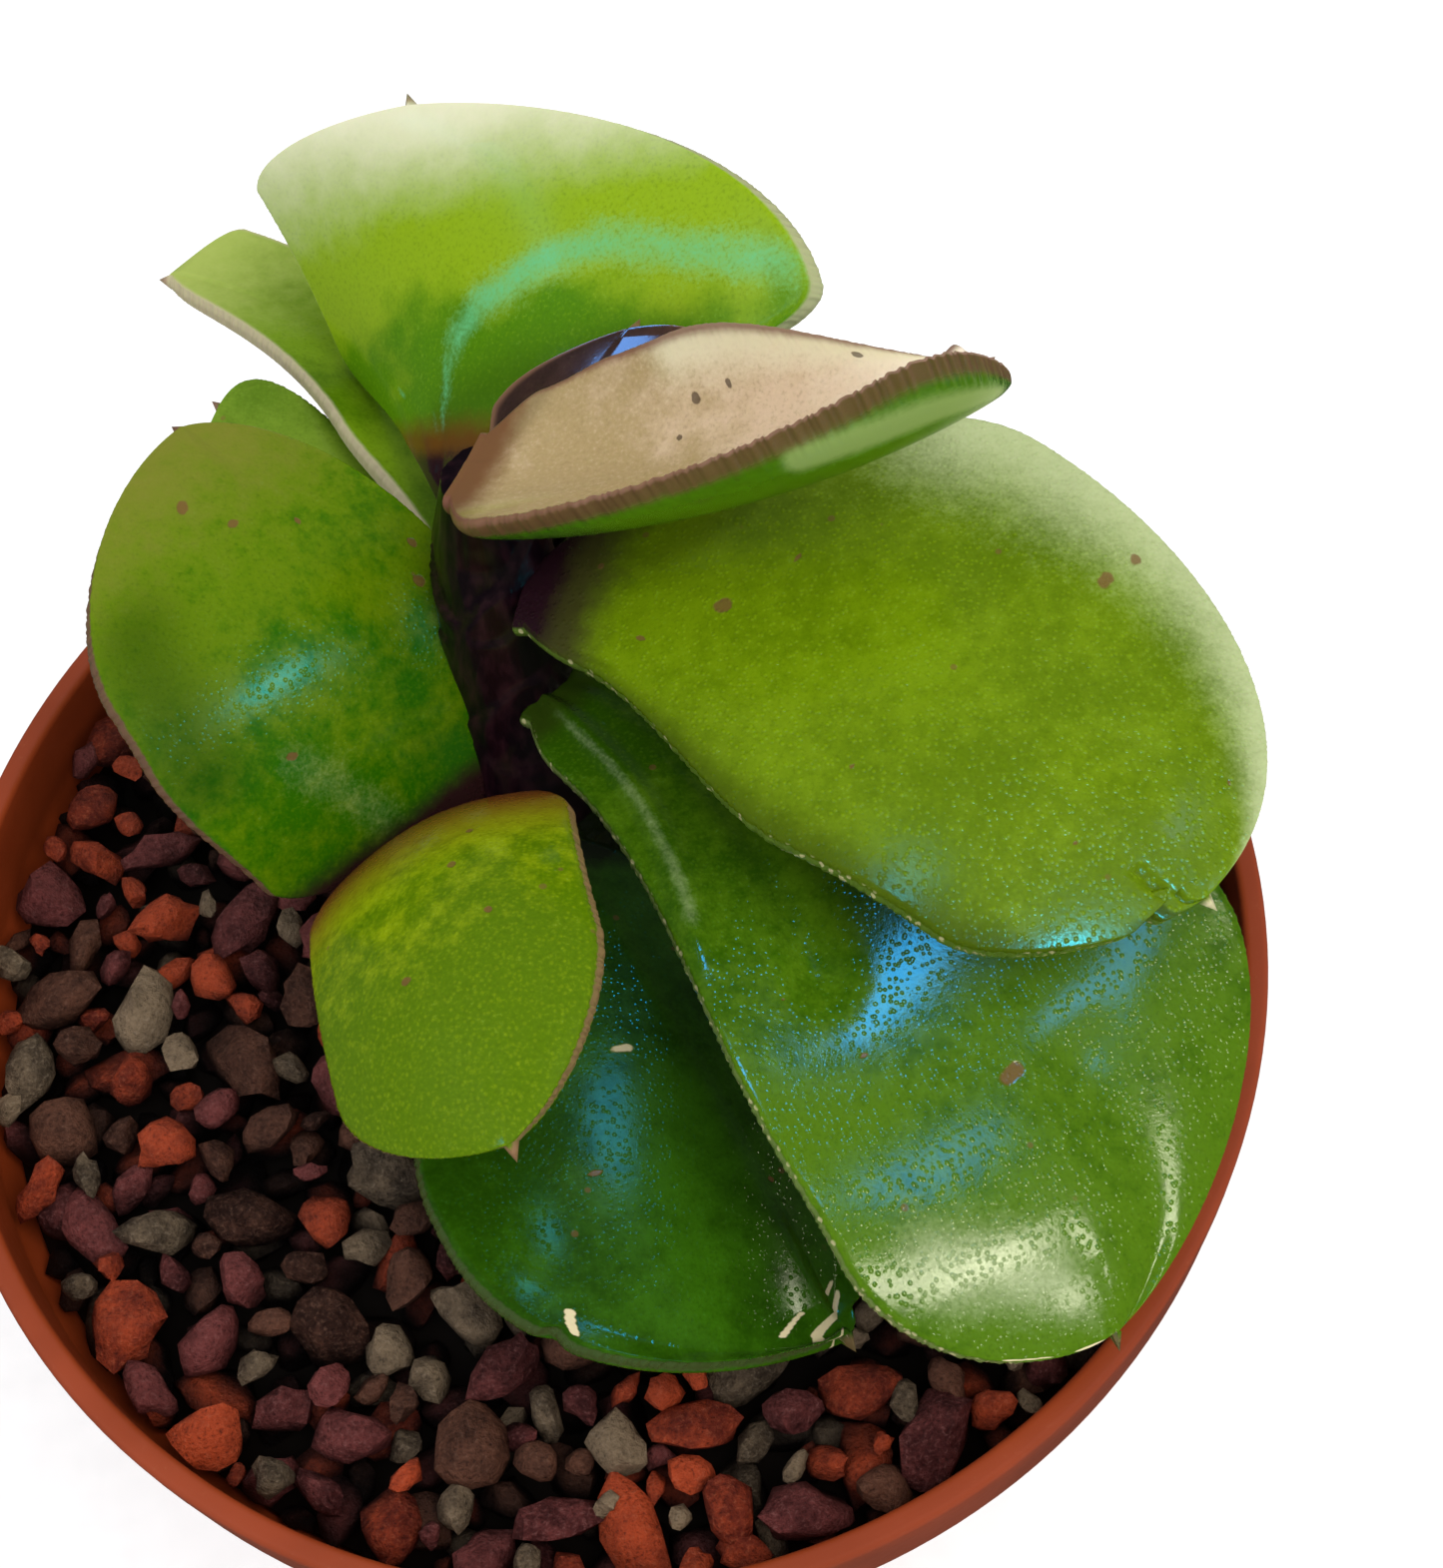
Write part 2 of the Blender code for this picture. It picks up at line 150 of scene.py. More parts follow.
LEAVES = {
    "leaf_front_low": leaf(
        foot=(-0.5, 6.7, 83.7), heading=-74.5, turn=9.0, length=44.9, half_width=18.0,
        lopsided=-0.25, shoulders=(0.1, 0.6), bluntness=(1.7, 2.11), neck=0.5, widest=0.56,
        slant=-0.04, rise=(0.1, 1.0), roll=(-18.9, -35.9), dish=(0.04, 0.15), belly=2.2, tail=2.0),
    "leaf_right_low": leaf(
        foot=(-0.6, 14.1, 91.5), heading=-42.0, turn=-33.4, length=64.0, half_width=19.0,
        lopsided=0.19, shoulders=(0.71, 0.76), bluntness=(1.7, 1.7), neck=0.36, widest=0.65,
        slant=-0.27, rise=(15.0, -20.0), roll=(-0.6, -13.2), dish=(-0.38, 0.06), belly=3.0, tail=1.0),
    "leaf_right_middle": leaf(
        foot=(-0.8, 17.2, 99.8), heading=-23.1, turn=-26.5, length=54.9, half_width=19.5,
        lopsided=0.28, shoulders=(0.1, 0.76), bluntness=(2.3, 1.7), neck=0.31, widest=0.51,
        slant=0.05, rise=(23.2, -20.5), roll=(4.2, 2.6), dish=(0.05, 0.1), belly=3.0, tail=1.0),
    "leaf_right_top": leaf(
        foot=(-3.4, 22.5, 109.4), heading=-24.3, turn=36.7, length=37.9, half_width=8.2,
        lopsided=-0.11, shoulders=(0.45, 0.76), bluntness=(1.7, 2.27), neck=0.82, widest=0.28,
        slant=-0.69, rise=(10.3, 20.9), roll=(-7.5, -3.3), dish=(-0.28, -1.57), belly=2.4, tail=0.5),
    "leaf_heart": leaf(
        foot=(-0.9, 23.3, 104.3), heading=40.6, turn=12.6, length=15.9, half_width=8.8,
        lopsided=-0.09, shoulders=(0.31, 0.48), bluntness=(1.97, 2.6), neck=0.66, widest=0.38,
        slant=-0.66, rise=(20.1, 16.8), roll=(-15.1, -7.6), dish=(0.13, 0.08), belly=1.0, tail=0.5),
    "leaf_back_top": leaf(
        foot=(-7.2, 33.7, 94.6), heading=70.9, turn=35.0, length=30.8, half_width=24.0,
        lopsided=-0.25, shoulders=(0.81, 0.38), bluntness=(1.7, 1.75), neck=0.31, widest=0.39,
        slant=0.44, rise=(29.2, 21.1), roll=(-44.7, -33.9), dish=(0.38, 0.01), belly=1.6, tail=12.0,
        root=(-3.4, 23.2, 90.6)),
    "leaf_back_middle": leaf(
        foot=(-7.5, 27.1, 86.7), heading=85.9, turn=72.6, length=50.1, half_width=7.2,
        lopsided=0.0, shoulders=(0.3, 0.92), bluntness=(1.71, 1.88), neck=0.31, widest=0.39,
        slant=0.17, rise=(-3.7, -1.8), roll=(30.0, 16.6), dish=(-0.02, -0.27), belly=1.4, tail=7.0,
        root=(-4.6, 20.4, 86.0)),
    "leaf_back_low": leaf(
        foot=(-4.6, 17.3, 81.2), heading=121.8, turn=5.5, length=40.4, half_width=10.9,
        lopsided=0.4, shoulders=(0.46, 0.68), bluntness=(2.48, 2.69), neck=0.32, widest=0.37,
        slant=-0.52, rise=(10.0, 6.6), roll=(8.5, -0.1), dish=(0.1, 0.11), belly=2.2, tail=3.0),
    "offset_leaf_back": leaf(
        foot=(-11.2, 8.7, 85.8), heading=103.4, turn=29.9, length=37.6, half_width=15.7,
        lopsided=0.22, shoulders=(0.54, 0.29), bluntness=(1.72, 1.7), neck=0.75, widest=0.4,
        slant=-0.07, rise=(69.1, -4.8), roll=(27.4, 18.8), dish=(-0.01, 0.1), belly=3.0, tail=1.0),
    "offset_leaf_front": leaf(
        foot=(-9.3, 5.7, 89.8), heading=-88.1, turn=10.8, length=37.1, half_width=10.7,
        lopsided=-0.12, shoulders=(0.62, 0.74), bluntness=(1.7, 1.97), neck=0.74, widest=0.22,
        slant=-0.04, rise=(62.7, -20.6), roll=(13.4, 14.0), dish=(0.2, 0.35), belly=2.5, tail=1.0),
}

# Marks on the leaves: (share along, share across, radius in millimetres)
SPOTS = {
    "leaf_right_middle": ((0.28, 0.06, 0.75), (0.66, 0.69, 0.6), (0.672, 0.83, 0.45), (0.188, -0.36, 0.45),
                          (0.536, -0.49, 0.3), (0.906, 0.6, 0.35), (0.82, -0.25, 0.25), (0.34, 0.3, 0.3)),
    "leaf_right_low": ((0.132, -0.02, 0.4), (0.709, 0.08, 0.8), (0.6, -0.4, 0.25), (0.5, -0.6, 0.3)),
    "leaf_right_top": ((0.466, 0.51, 0.45), (0.82, 0.72, 0.4), (0.415, 0.21, 0.25), (0.545, 0.57, 0.3)),
    "offset_leaf_back": ((0.664, -0.12, 0.45), (0.45, -0.6, 0.6), (0.52, -0.75, 0.5), (0.8, 0.4, 0.6),
                         (0.3, 0.5, 0.35), (0.72, 0.2, 0.4)),
    "offset_leaf_front": ((0.4, 0.1, 0.4), (0.55, 0.3, 0.35), (0.62, -0.3, 0.4), (0.3, 0.25, 0.35)),
    "leaf_front_low": ((0.6, -0.5, 0.25), (0.7, 0.1, 0.3)),
}
# Scars: (along, across) to (along, across), half width in millimetres and strength
SCARS = {
    "leaf_front_low": ((0.81, -0.95, 0.775, -0.86, 0.3, 1.0), (0.98, -0.62, 0.957, -0.3, 0.32, 1.0),
                       (0.955, -0.32, 0.935, 0.05, 0.28, 1.0), (0.93, 0.08, 0.905, 0.34, 0.4, 1.0),
                       (0.90, 0.1, 0.885, 0.3, 0.25, 0.9), (0.935, -0.45, 0.915, -0.2, 0.2, 0.9),
                       (0.413, -0.24, 0.417, -0.22, 0.5, 0.9)),
    "leaf_right_low": ((0.985, -0.45, 0.97, -0.8, 0.3, 1.0), (0.955, -0.86, 0.93, -0.93, 0.25, 0.9)),
}
# Grooves (positive depth) and ridges: (along, across) to (along, across), half width and depth
RELIEF = {
    "leaf_right_middle": ((0.40, 0.80, 0.60, 0.35, 2.2, 0.45), (0.90, -0.20, 1.0, -0.45, 0.5, 0.7),
                          (0.60, 0.35, 0.80, 0.20, 3.0, 0.25)),
    "leaf_right_low": ((0.02, -0.2, 0.38, -0.85, 2.4, -0.6), (0.05, 0.35, 0.50, -0.35, 2.6, 0.6),
                       (0.75, 0.3, 0.95, 0.5, 3.0, 0.3)),
    "offset_leaf_back": ((0.15, -0.2, 0.5, -0.3, 4.0, 0.3),),
    "leaf_back_top": ((0.06, 0.0, 0.22, -0.28, 4.2, 0.5), (0.22, -0.28, 0.30, -0.6, 4.2, 0.5),
                      (0.30, -0.6, 0.24, -0.95, 4.2, 0.4)),
}
# Paler (positive) and darker streaks on the upper face, laid out as the grooves are: mostly painted highlight,
# glare and shade, with a little of the leaf's own paler wear and darker margin
SHEEN_SHADE_AND_WEAR = {
    "leaf_right_middle": ((0.0, -0.1, 0.22, 0.5, 3.0, -0.45), (0.0, -0.9, 0.15, -0.8, 1.6, -0.6),
                          (0.45, 0.98, 0.80, 1.08, 6.5, 0.85), (0.75, 1.05, 0.92, 0.95, 6.0, 0.8),
                          (0.05, 0.9, 0.30, 0.98, 2.0, -0.6), (0.06, -1.0, 0.88, -1.0, 4.2, -0.85),
                          (0.956, -1.0, 0.956, -0.7, 1.1, -1.0)),
    "leaf_right_low": ((0.0, -0.3, 0.36, -0.8, 1.3, 0.35), (0.08, 0.45, 0.48, 0.0, 4.5, -0.6),
                       (0.3, 0.9, 0.6, 0.98, 2.0, -0.6), (0.82, -0.65, 0.90, -0.25, 4.5, 0.55)),
    "leaf_right_top": ((0.45, 1.0, 0.92, 0.9, 3.0, 1.0), (0.0, 0.0, 0.1, 0.9, 1.6, -0.5)),
    "leaf_back_top": ((0.25, 1.0, 0.8, 1.0, 0.8, 0.9), (0.10, 0.1, 0.20, -0.25, 4.0, -0.6),
                      (0.20, -0.25, 0.26, -0.7, 4.0, -0.6)),
    "offset_leaf_back": ((0.0, -0.9, 0.45, -0.98, 2.5, -0.7), (0.36, 0.85, 0.62, 0.8, 4.0, -0.6),
                         (0.1, 0.3, 0.28, 0.5, 2.5, 0.25)),
}
# The same on the lower face: painted reflections on the underside
UNDER_PAINTED_SHEEN = {
    "leaf_right_top": ((0.62, -0.86, 0.90, -0.70, 0.9, 1.2), (0.90, -0.4, 0.98, -0.1, 0.9, 1.0)),
}
# Bites out of the margin, or spurs where the depth is negative: side (0 left, 1 right), share along,
# half width and depth
BITES = {
    "leaf_right_middle": ((1, 0.956, 0.6, 2.2),),
    "leaf_front_low": ((1, 0.80, 0.9, 0.7), (1, 0.985, 0.7, 0.6), (0, 0.945, 0.8, 0.7)),
    "leaf_right_low": ((1, 0.985, 0.8, 0.5),),
    "leaf_right_top": ((0, 0.951, 0.5, -1.2),),
}
# Painted bluish highlight along a leaf's valley, a reflection painted into the colour, laid out as the grooves
# are, and its colour
PAINTED_ARC_COLOUR = (0.12, 0.50, 0.21)
PAINTED_HIGHLIGHT_ARCS = {
    "leaf_back_top": ((0.09, 0.12, 0.15, 0.17, 0.7, 0.4), (0.13, 0.05, 0.335, -0.04, 0.9, 0.6),
                      (0.335, -0.04, 0.42, -0.14, 1.2, 0.7), (0.42, -0.14, 0.50, -0.36, 1.5, 0.8),
                      (0.50, -0.36, 0.52, -0.55, 1.6, 0.7), (0.52, -0.55, 0.44, -0.92, 2.0, 0.65),
                      (0.22, 0.50, 0.23, 0.52, 0.5, 0.7)),
}
# Arches that round a flat leaf lengthwise: share along of the crest and the drop at ARCH_REACH from it
ARCHES = {"leaf_front_low": (0.554, 1.7)}
# Teeth of the margins: height, spacing and reach inwards
TEETH = {"leaf_right_top": (0.10, 0.7, 0.9), "leaf_heart": (0.08, 0.8, 0.5)}
PLAIN_TEETH = (0.07, 0.62, 0.35)
FAR_TEETH = 0.2            # how much of the coarse teeth the left margin has


def ease(t):
    """A soft step from 0 to 1."""
    t = np.clip(t, 0.0, 1.0)
    return t * t * (3 - 2 * t)


def unit(a):
    """Vectors shortened or stretched to a length of one."""
    return a / (np.linalg.norm(a, axis=-1, keepdims=True) + 1e-12)


def waves(points, size, count, seed):
    """Smooth noise: a mean of sine waves of about one wavelength in seeded directions."""
    draw = np.random.default_rng(seed)
    ways = unit(draw.normal(size=(count, 3))) * 2 * math.pi / (size * draw.uniform(0.7, 1.5, (count, 1)))
    return np.sin(points @ ways.T + draw.uniform(0, 2 * math.pi, count)).mean(-1) * math.sqrt(2.0)


def midrib(size, u):
    """Point, forward, left and up directions at shares u of a leaf's length.

    The heading and the rise change evenly from base to tip, and the blade rolls about the
    midrib.  Shares under 0 run straight back from the foot, or straight to the root if it has one.
    """
    fine = np.linspace(0.0, 1.0, MIDRIB_POINTS)
    inside = np.clip(u, 0.0, 1.0)

    def forward(s):
        a = np.radians(size["heading"] + size["turn"] * s)
        b = np.radians(size["rise"][0] + (size["rise"][1] - size["rise"][0]) * s)
        return np.stack([np.cos(b) * np.cos(a), np.cos(b) * np.sin(a), np.sin(b)], -1), a

    way = forward(fine)[0]
    path = np.vstack([np.zeros(3), np.cumsum((way[1:] + way[:-1]) / 2, axis=0) / (MIDRIB_POINTS - 1)])
    point = np.stack([np.interp(inside, fine, path[:, k]) for k in range(3)], -1)
    ahead, a = forward(inside)
    back = ahead
    if size["root"] is not None:
        back = (np.array(size["foot"]) - np.array(size["root"])) / size["tail"]
    point = point + (u - inside)[..., None] * back
    level = np.stack([-np.sin(a), np.cos(a), 0 * a], -1)
    upright = np.cross(ahead, level)
    r = np.radians(size["roll"][0] + (size["roll"][1] - size["roll"][0]) * inside)[..., None]
    left = np.cos(r) * level + np.sin(r) * upright
    up = -np.sin(r) * level + np.cos(r) * upright
    return np.array(size["foot"]) + point * size["length"], ahead, left, up


def half_width(size, u, side):
    """Half width at shares u of the length, on the left (0) or on the right (1).

    It grows from the neck to the widest share, then closes as a superellipse from the
    shoulder to the point at the tip.
    """
    end = 1.0 - MUCRO / size["length"]
    grow = size["neck"] + (1 - size["neck"]) * ease(u / size["widest"])
    heel = 1 - 0.45 * (1 - np.clip(u / HEEL, 0, 1)) ** 2
    power = size["bluntness"][side]
    t = np.clip((u - size["shoulders"][side]) / (end - size["shoulders"][side]), 0.0, 1.0)
    share = size["half_width"] * (1 + size["lopsided"] * (1 - 2 * side))
    return np.maximum(heel * grow * (1 - t ** power) ** (1 / power) * share, MUCRO_HALF)


def streaks(lines, size, u, v):
    """Soft lines, each its amount times a bell of the distance to a straight stretch; the strongest counts."""
    total = np.zeros_like(u)
    full = size["half_width"]
    for u0, v0, u1, v1, wide, amount in lines:
        run = np.array([(u1 - u0) * size["length"], (v1 - v0) * full])
        x = (u - u0) * size["length"]
        y = (v - v0) * full
        t = np.clip((x * run[0] + y * run[1]) / (run @ run), 0, 1)
        line = amount * np.exp(-(np.hypot(x - t * run[0], y - t * run[1]) / wide) ** 2)
        total = np.where(np.abs(line) > np.abs(total), line, total)
    return total


def bells(marks, size, u, v):
    """A mask that is 1 at the middle of each round mark and falls off as a bell of its radius."""
    mask = np.zeros_like(u)
    for along, across, radius in marks:
        far = np.hypot((u - along) * size["length"], (v - across) * size["half_width"])
        mask = np.maximum(mask, np.exp(-(far / radius) ** 2))
    return mask


def blade(name, size, u, v):
    """Upper and lower surface of a blade on a grid of shares u along and v across.

    The midrib carries a cross section that droops as a parabola: drop = -dish * (across / full)^2 * full.
    Its edge is a half round of the margin's thickness, margin * sqrt(1 - (1 - rim / margin)^2), and both
    faces swell between the edges by 1 - v^2.  Grooves are bells of the distance to a line.  An arch lowers
    the upper face by sag * (distance from the crest / reach)^2.  The margin moves along its outward
    direction by the inset, the teeth as two sine waves, and the bites as bells.
    """
    point, ahead, left, up = midrib(size, u)
    w = np.where(v > 0, half_width(size, u, 0), half_width(size, u, 1))
    across = w * v
    full = size["half_width"]
    inside = np.clip(u, 0.0, 1.0)
    drop = -(size["dish"][0] + (size["dish"][1] - size["dish"][0]) * inside) * (across / full) ** 2 * full
    middle = (point + across[..., None] * left + drop[..., None] * up
              + (size["slant"] * across * inside ** 2)[..., None] * ahead)
    rim = (1 - np.abs(v)) * w
    from_edge = np.minimum(rim / MARGIN, 1.0)
    edge = MARGIN * np.sqrt(1 - (1 - from_edge) ** 2)
    swell = (1 - v ** 2) * np.minimum(1.4 * w / full, 1.0)
    relief = -streaks(RELIEF.get(name, ()), size, u, v) * np.minimum(rim / 1.5, 1.0)
    crest, sag = ARCHES.get(name, (0.0, 0.0))
    inland = np.minimum(rim / 3.0, 1.0)
    relief -= np.minimum(sag * ((u - crest) * size["length"] / ARCH_REACH) ** 2, ARCH_MOST) * inland
    ripple = RIPPLE * (waves(middle, 9.0, 12, 5) - 1) * inland
    upper = middle + (edge + CROWN * swell + relief + ripple)[..., None] * up
    lower = middle - (edge + size["belly"] * swell * (1 - 0.5 * inside) + 0.5 * ripple)[..., None] * up
    high, pitch, reach = TEETH.get(name, PLAIN_TEETH)
    for side, column in ((0, -1), (1, 0)):
        line = middle[:, column]
        along = np.concatenate([[0.0], np.cumsum(np.linalg.norm(np.diff(line, axis=0), axis=1))])
        out = unit(np.cross(np.gradient(line, axis=0), up[:, column])) * (1 if side else -1)
        beat = 2 * math.pi * (along + 0.25 * np.sin(along * 1.3) + 0.15 * np.sin(along * 3.7 + 1.0)) / pitch
        tooth = high * (np.sin(beat) + 0.4 * np.sin(beat / 2.3) - 1.4)
        tooth = (tooth * FAR_TEETH if side == 0 and name in TEETH else tooth) - INSET
        tooth *= ease((along - 3.0) / 6.0) * ease((along[-1] - along) / 1.5)
        shift = tooth[:, None] * np.exp(-(rim / reach) ** 2)
        for bite_side, share, wide, deep in BITES.get(name, ()):
            if bite_side == side:
                at = np.interp(share, u[:, column], along)
                cut = deep * np.exp(-((along - at) / wide) ** 2)
                shift = shift - cut[:, None] * np.exp(-(rim / (1.6 * abs(deep))) ** 2)
        here = (v > 0) if side == 0 else (v < 0)
        shift = np.where(here, shift, 0.0)[..., None] * out[:, None, :]
        upper = upper + shift
        lower = lower + shift
    return upper, lower, rim


def tube_faces(rows, count):
    """Quads between neighbouring rings of a closed tube, as an array of corner numbers."""
    r, k = np.meshgrid(np.arange(rows - 1), np.arange(count), indexing="ij")
    n = (k + 1) % count
    return np.stack([r * count + k, r * count + n, (r + 1) * count + n, (r + 1) * count + k], -1).reshape(-1, 4)


def piece(name, points, faces, looks, node):
    """A finished piece: its mesh in metres, its finish, the body it rides on and the node it stands for."""
    mesh = bpy.data.meshes.new(name)
    mesh.from_pydata((np.asarray(points) * MM).tolist(), [], [tuple(f) for f in faces])
    mesh.polygons.foreach_set("use_smooth", [True] * len(mesh.polygons))
    shape = bmesh.new()
    shape.from_mesh(mesh)
    bmesh.ops.recalc_face_normals(shape, faces=shape.faces)
    shape.to_mesh(mesh)
    shape.free()
    mesh.materials.append(looks)
    made = bpy.data.objects.new(name, mesh)
    bpy.context.scene.collection.objects.link(made)
    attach(made, "root")
    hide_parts(node)
    return made


def mark(made, name, values):
    """A number for each vertex that the finish can read."""
    stored = made.data.attributes.new(name, "FLOAT", "POINT").data
    stored.foreach_set("value", np.asarray(values, np.float32).ravel())


def leaf_piece(node, looks):
    """One leaf as a closed blade of fine rows, with its point, teeth and marks."""
    size = LEAVES[node]
    end = 1.0 - MUCRO / size["length"]
    rows = end * (1 - (1 - np.linspace(0.0, 1.0, ROWS)) ** 1.5)
    tail = -size["tail"] / size["length"]
    rows = np.concatenate([np.linspace(tail, 0.0, TAIL_ROWS + 1)[:-1], rows])
    shares = np.sin(np.linspace(-math.pi / 2, math.pi / 2, COLUMNS))
    u, v = np.meshgrid(rows, shares, indexing="ij")
    upper, lower, rim = blade(node, size, u, v)
    back = slice(-2, 0, -1)

    def ring(a, b):
        return np.concatenate([a, b[:, back]], axis=1)

    count = 2 * COLUMNS - 2
    points = np.clip(ring(upper, lower).reshape(-1, 3), *(np.array(CAD_BOX) / MM))
    tip = midrib(size, np.array([1.0]))[0]
    last = (len(rows) - 1) * count
    k = np.arange(count)
    fan = np.stack([last + k, last + (k + 1) % count, np.full(count, len(points))], -1)
    faces = tube_faces(len(rows), count).tolist() + fan.tolist() + [list(range(count - 1, -1, -1))]
    made = piece(node + "_blade", np.vstack([points, tip]), faces, looks, node)
    spot = bells(SPOTS.get(node, ()), size, u, v)
    scar = streaks(SCARS.get(node, ()), size, u, v)
    sheen_shade_and_wear = streaks(SHEEN_SHADE_AND_WEAR.get(node, ()), size, u, v)
    painted_arc = streaks(PAINTED_HIGHLIGHT_ARCS.get(node, ()), size, u, v)
    under_painted_sheen = streaks(UNDER_PAINTED_SHEEN.get(node, ()), size, u, v)
    near = [np.exp(-(np.linalg.norm(face - tip[0], axis=-1) / MUCRO) ** 2) for face in (upper, lower)]
    end_marks = dict(along=1.0, rim=0.0, under=0.5, spot=0.0, scar=0.0, sheen_shade_and_wear=0.0, painted_arc=0.0, point=1.0)
    both = dict(along=(u, u), rim=(rim, rim), under=(0 * u, 0 * u + 1), spot=(spot, 0 * u), scar=(scar, scar),
                sheen_shade_and_wear=(sheen_shade_and_wear, under_painted_sheen), painted_arc=(painted_arc, 0 * u), point=near)
    for name, (a, b) in both.items():
        mark(made, name, np.append(ring(a, b).ravel(), end_marks[name]))
    return made


def stem_piece(node, sizes, collars, looks):
    """A stem as an elliptical column wrapped in collars, one at each leaf's foot.

    A collar's edge is a height that is greatest on its leaf's side.  Below the edge the column
    is wider, by an amount that fades downwards, and the widest collar counts.
    """
    axis = np.array(sizes["axis"])
    halves = np.array(sizes["half_widths"])
    z = np.linspace(axis[0, 2], axis[-1, 2], 160)[:, None]
    centre = [np.interp(z, axis[:, 2], axis[:, k]) for k in range(2)]
    wide = [np.interp(z, axis[:, 2], halves[:, k]) for k in range(2)]
    a = np.linspace(0, 2 * math.pi, 72, endpoint=False)[None, :]
    turn = math.radians(sizes["heading"])
    grow = np.zeros((len(z), a.shape[1]))
    edge = np.zeros_like(grow)
    for heading, height, tilt in collars:
        top = height + tilt * np.cos(a - math.radians(heading)) + 0.25 * np.sin(5 * a + height)
        below = top - z
        collar = 0.6 * ease(below / 0.5) * np.exp(-np.maximum(below, 0) / 5.0)
        edge = np.maximum(edge, np.where(collar > grow, np.exp(-(below / 0.5) ** 2), edge * 0.6))
        grow = np.maximum(grow, collar)
    flutes = 0.03 * np.sin(23 * a + 0.5 * np.sin(z)) + 0.06 * np.sin(7 * a + 0.3 * z)
    x = (wide[0] + grow + flutes) * np.cos(a - turn)
    y = (wide[1] + grow + flutes) * np.sin(a - turn)
    points = np.stack([centre[0] + x * math.cos(turn) - y * math.sin(turn),
                       centre[1] + x * math.sin(turn) + y * math.cos(turn), z + 0 * a], -1)
    count = a.shape[1]
    faces = tube_faces(len(z), count).tolist()
    last = (len(z) - 1) * count
    faces += [list(range(count - 1, -1, -1)), list(range(last, last + count))]
    made = piece(node + "_sheaths", points.reshape(-1, 3), faces, looks, node)
    mark(made, "edge", edge)
    return made


def turned(name, profile, sides, looks, node):
    """A closed solid turned about Z from a profile of (radius, height) that starts and ends on the axis."""
    profile = np.array(profile)
    a = np.linspace(0, 2 * math.pi, sides, endpoint=False)
    body = profile[1:-1]
    rings = np.stack([body[:, :1] * np.cos(a), body[:, :1] * np.sin(a),
                      np.repeat(body[:, 1:], sides, axis=1)], -1)
    points = np.vstack([rings.reshape(-1, 3), [0, 0, profile[0, 1]], [0, 0, profile[-1, 1]]])
    faces = tube_faces(len(body), sides).tolist()
    k = np.arange(sides)
    n = (k + 1) % sides
    top, base = len(points) - 2, len(points) - 1
    last = (len(body) - 1) * sides
    faces += np.stack([n, k, np.full(sides, top)], -1).tolist()
    faces += np.stack([last + k, last + n, np.full(sides, base)], -1).tolist()
    return piece(name, points, faces, looks, node)


def inner_radius(z):
    """Inside radius of the pot's wall at a height below the rim band."""
    return BASE_RADIUS - WALL + WALL_FALL * z


def arc(cx, cz, r, start, stop, count=6):
    """Points of a round corner in a profile, angles in degrees from the +X side upwards."""
    t = np.radians(np.linspace(start, stop, count))
    return [(cx + r * math.cos(q), cz + r * math.sin(q)) for q in t]


def pot_piece(looks):
    """The pot: a thin tapering wall, a stepped rim band with rounded lips, a foot and drain holes."""
    band = POT_HEIGHT - LIP_DEPTH
    inner = RIM_RADIUS - RIM_WIDTH
    lip = 0.55
    profile = [(0.0, FLOOR), (2.0, FLOOR), (inner_radius(FLOOR) - 1.0, FLOOR),
               (inner_radius(FLOOR + 1.0), FLOOR + 1.0), (inner_radius(30.0), 30.0),
               (inner_radius(60.0), 60.0), (inner_radius(band - 1.0), band - 1.0), (inner, band + 0.5),
               (inner, band + 2.0), (inner, POT_HEIGHT - 2.0)]
    profile += arc(inner + lip, POT_HEIGHT - lip, lip, 180, 90)
    profile += arc(RIM_RADIUS - lip, POT_HEIGHT - lip, lip, 90, 0)
    profile += [(RIM_RADIUS, POT_HEIGHT - 2.5), (RIM_RADIUS - 0.15, band + 1.0)]
    profile += arc(RIM_RADIUS - 0.45, band + 0.3, 0.3, 0, -90, 4)
    profile += arc(RIM_RADIUS - LIP_STEP + 0.25, band - 0.25, 0.25, 90, 180, 4)
    for z in (60.0, 40.0, 20.0):
        profile.append((BASE_RADIUS + WALL_FALL * z, z))
    profile += arc(BASE_RADIUS - FOOT_ROUND + 0.1, FOOT_ROUND, FOOT_ROUND, 0, -90, 6)
    profile += [(BASE_RADIUS - 4.0, 0.0), (2.0, 0.0), (0.0, 0.0)]
    made = turned("pot_shell", profile, 180, looks, "pot")
    drills = bpy.data.collections.new("drills")
    bpy.context.scene.collection.children.link(drills)
    for k in range(DRAIN_HOLES):
        a = 2 * math.pi * k / DRAIN_HOLES
        ring = bmesh.new()
        bmesh.ops.create_cone(ring, cap_ends=True, segments=40, radius1=DRAIN_RADIUS * MM,
                              radius2=DRAIN_RADIUS * MM, depth=3 * FLOOR * MM)
        ring.transform(Matrix.Translation((DRAIN_CIRCLE * MM * math.cos(a), DRAIN_CIRCLE * MM * math.sin(a),
                                           FLOOR * MM / 2)))
        mesh = bpy.data.meshes.new("drill")
        ring.to_mesh(mesh)
        ring.free()
        drills.objects.link(bpy.data.objects.new("drill", mesh))
    step = made.modifiers.new("drains", "BOOLEAN")
    step.operand_type = "COLLECTION"
    step.collection = drills
    step.solver = "EXACT"
    bpy.context.view_layer.update()
    mesh = bpy.data.meshes.new_from_object(made.evaluated_get(bpy.context.evaluated_depsgraph_get()))
    made.modifiers.clear()
    made.data = mesh
    for drill in list(drills.objects):
        bpy.data.objects.remove(drill, do_unlink=True)
    bpy.data.collections.remove(drills)
    mesh.set_sharp_from_angle(angle=math.radians(35))
    return made


def hollow(x, y):
    """How far the stones lie lower at a place: a bell round the hollow under the front leaf."""
    far = np.hypot(x - HOLLOW_PLACE[0], y - HOLLOW_PLACE[1])
    return HOLLOW_DEPTH * np.exp(-(far / HOLLOW_RADIUS) ** 2)


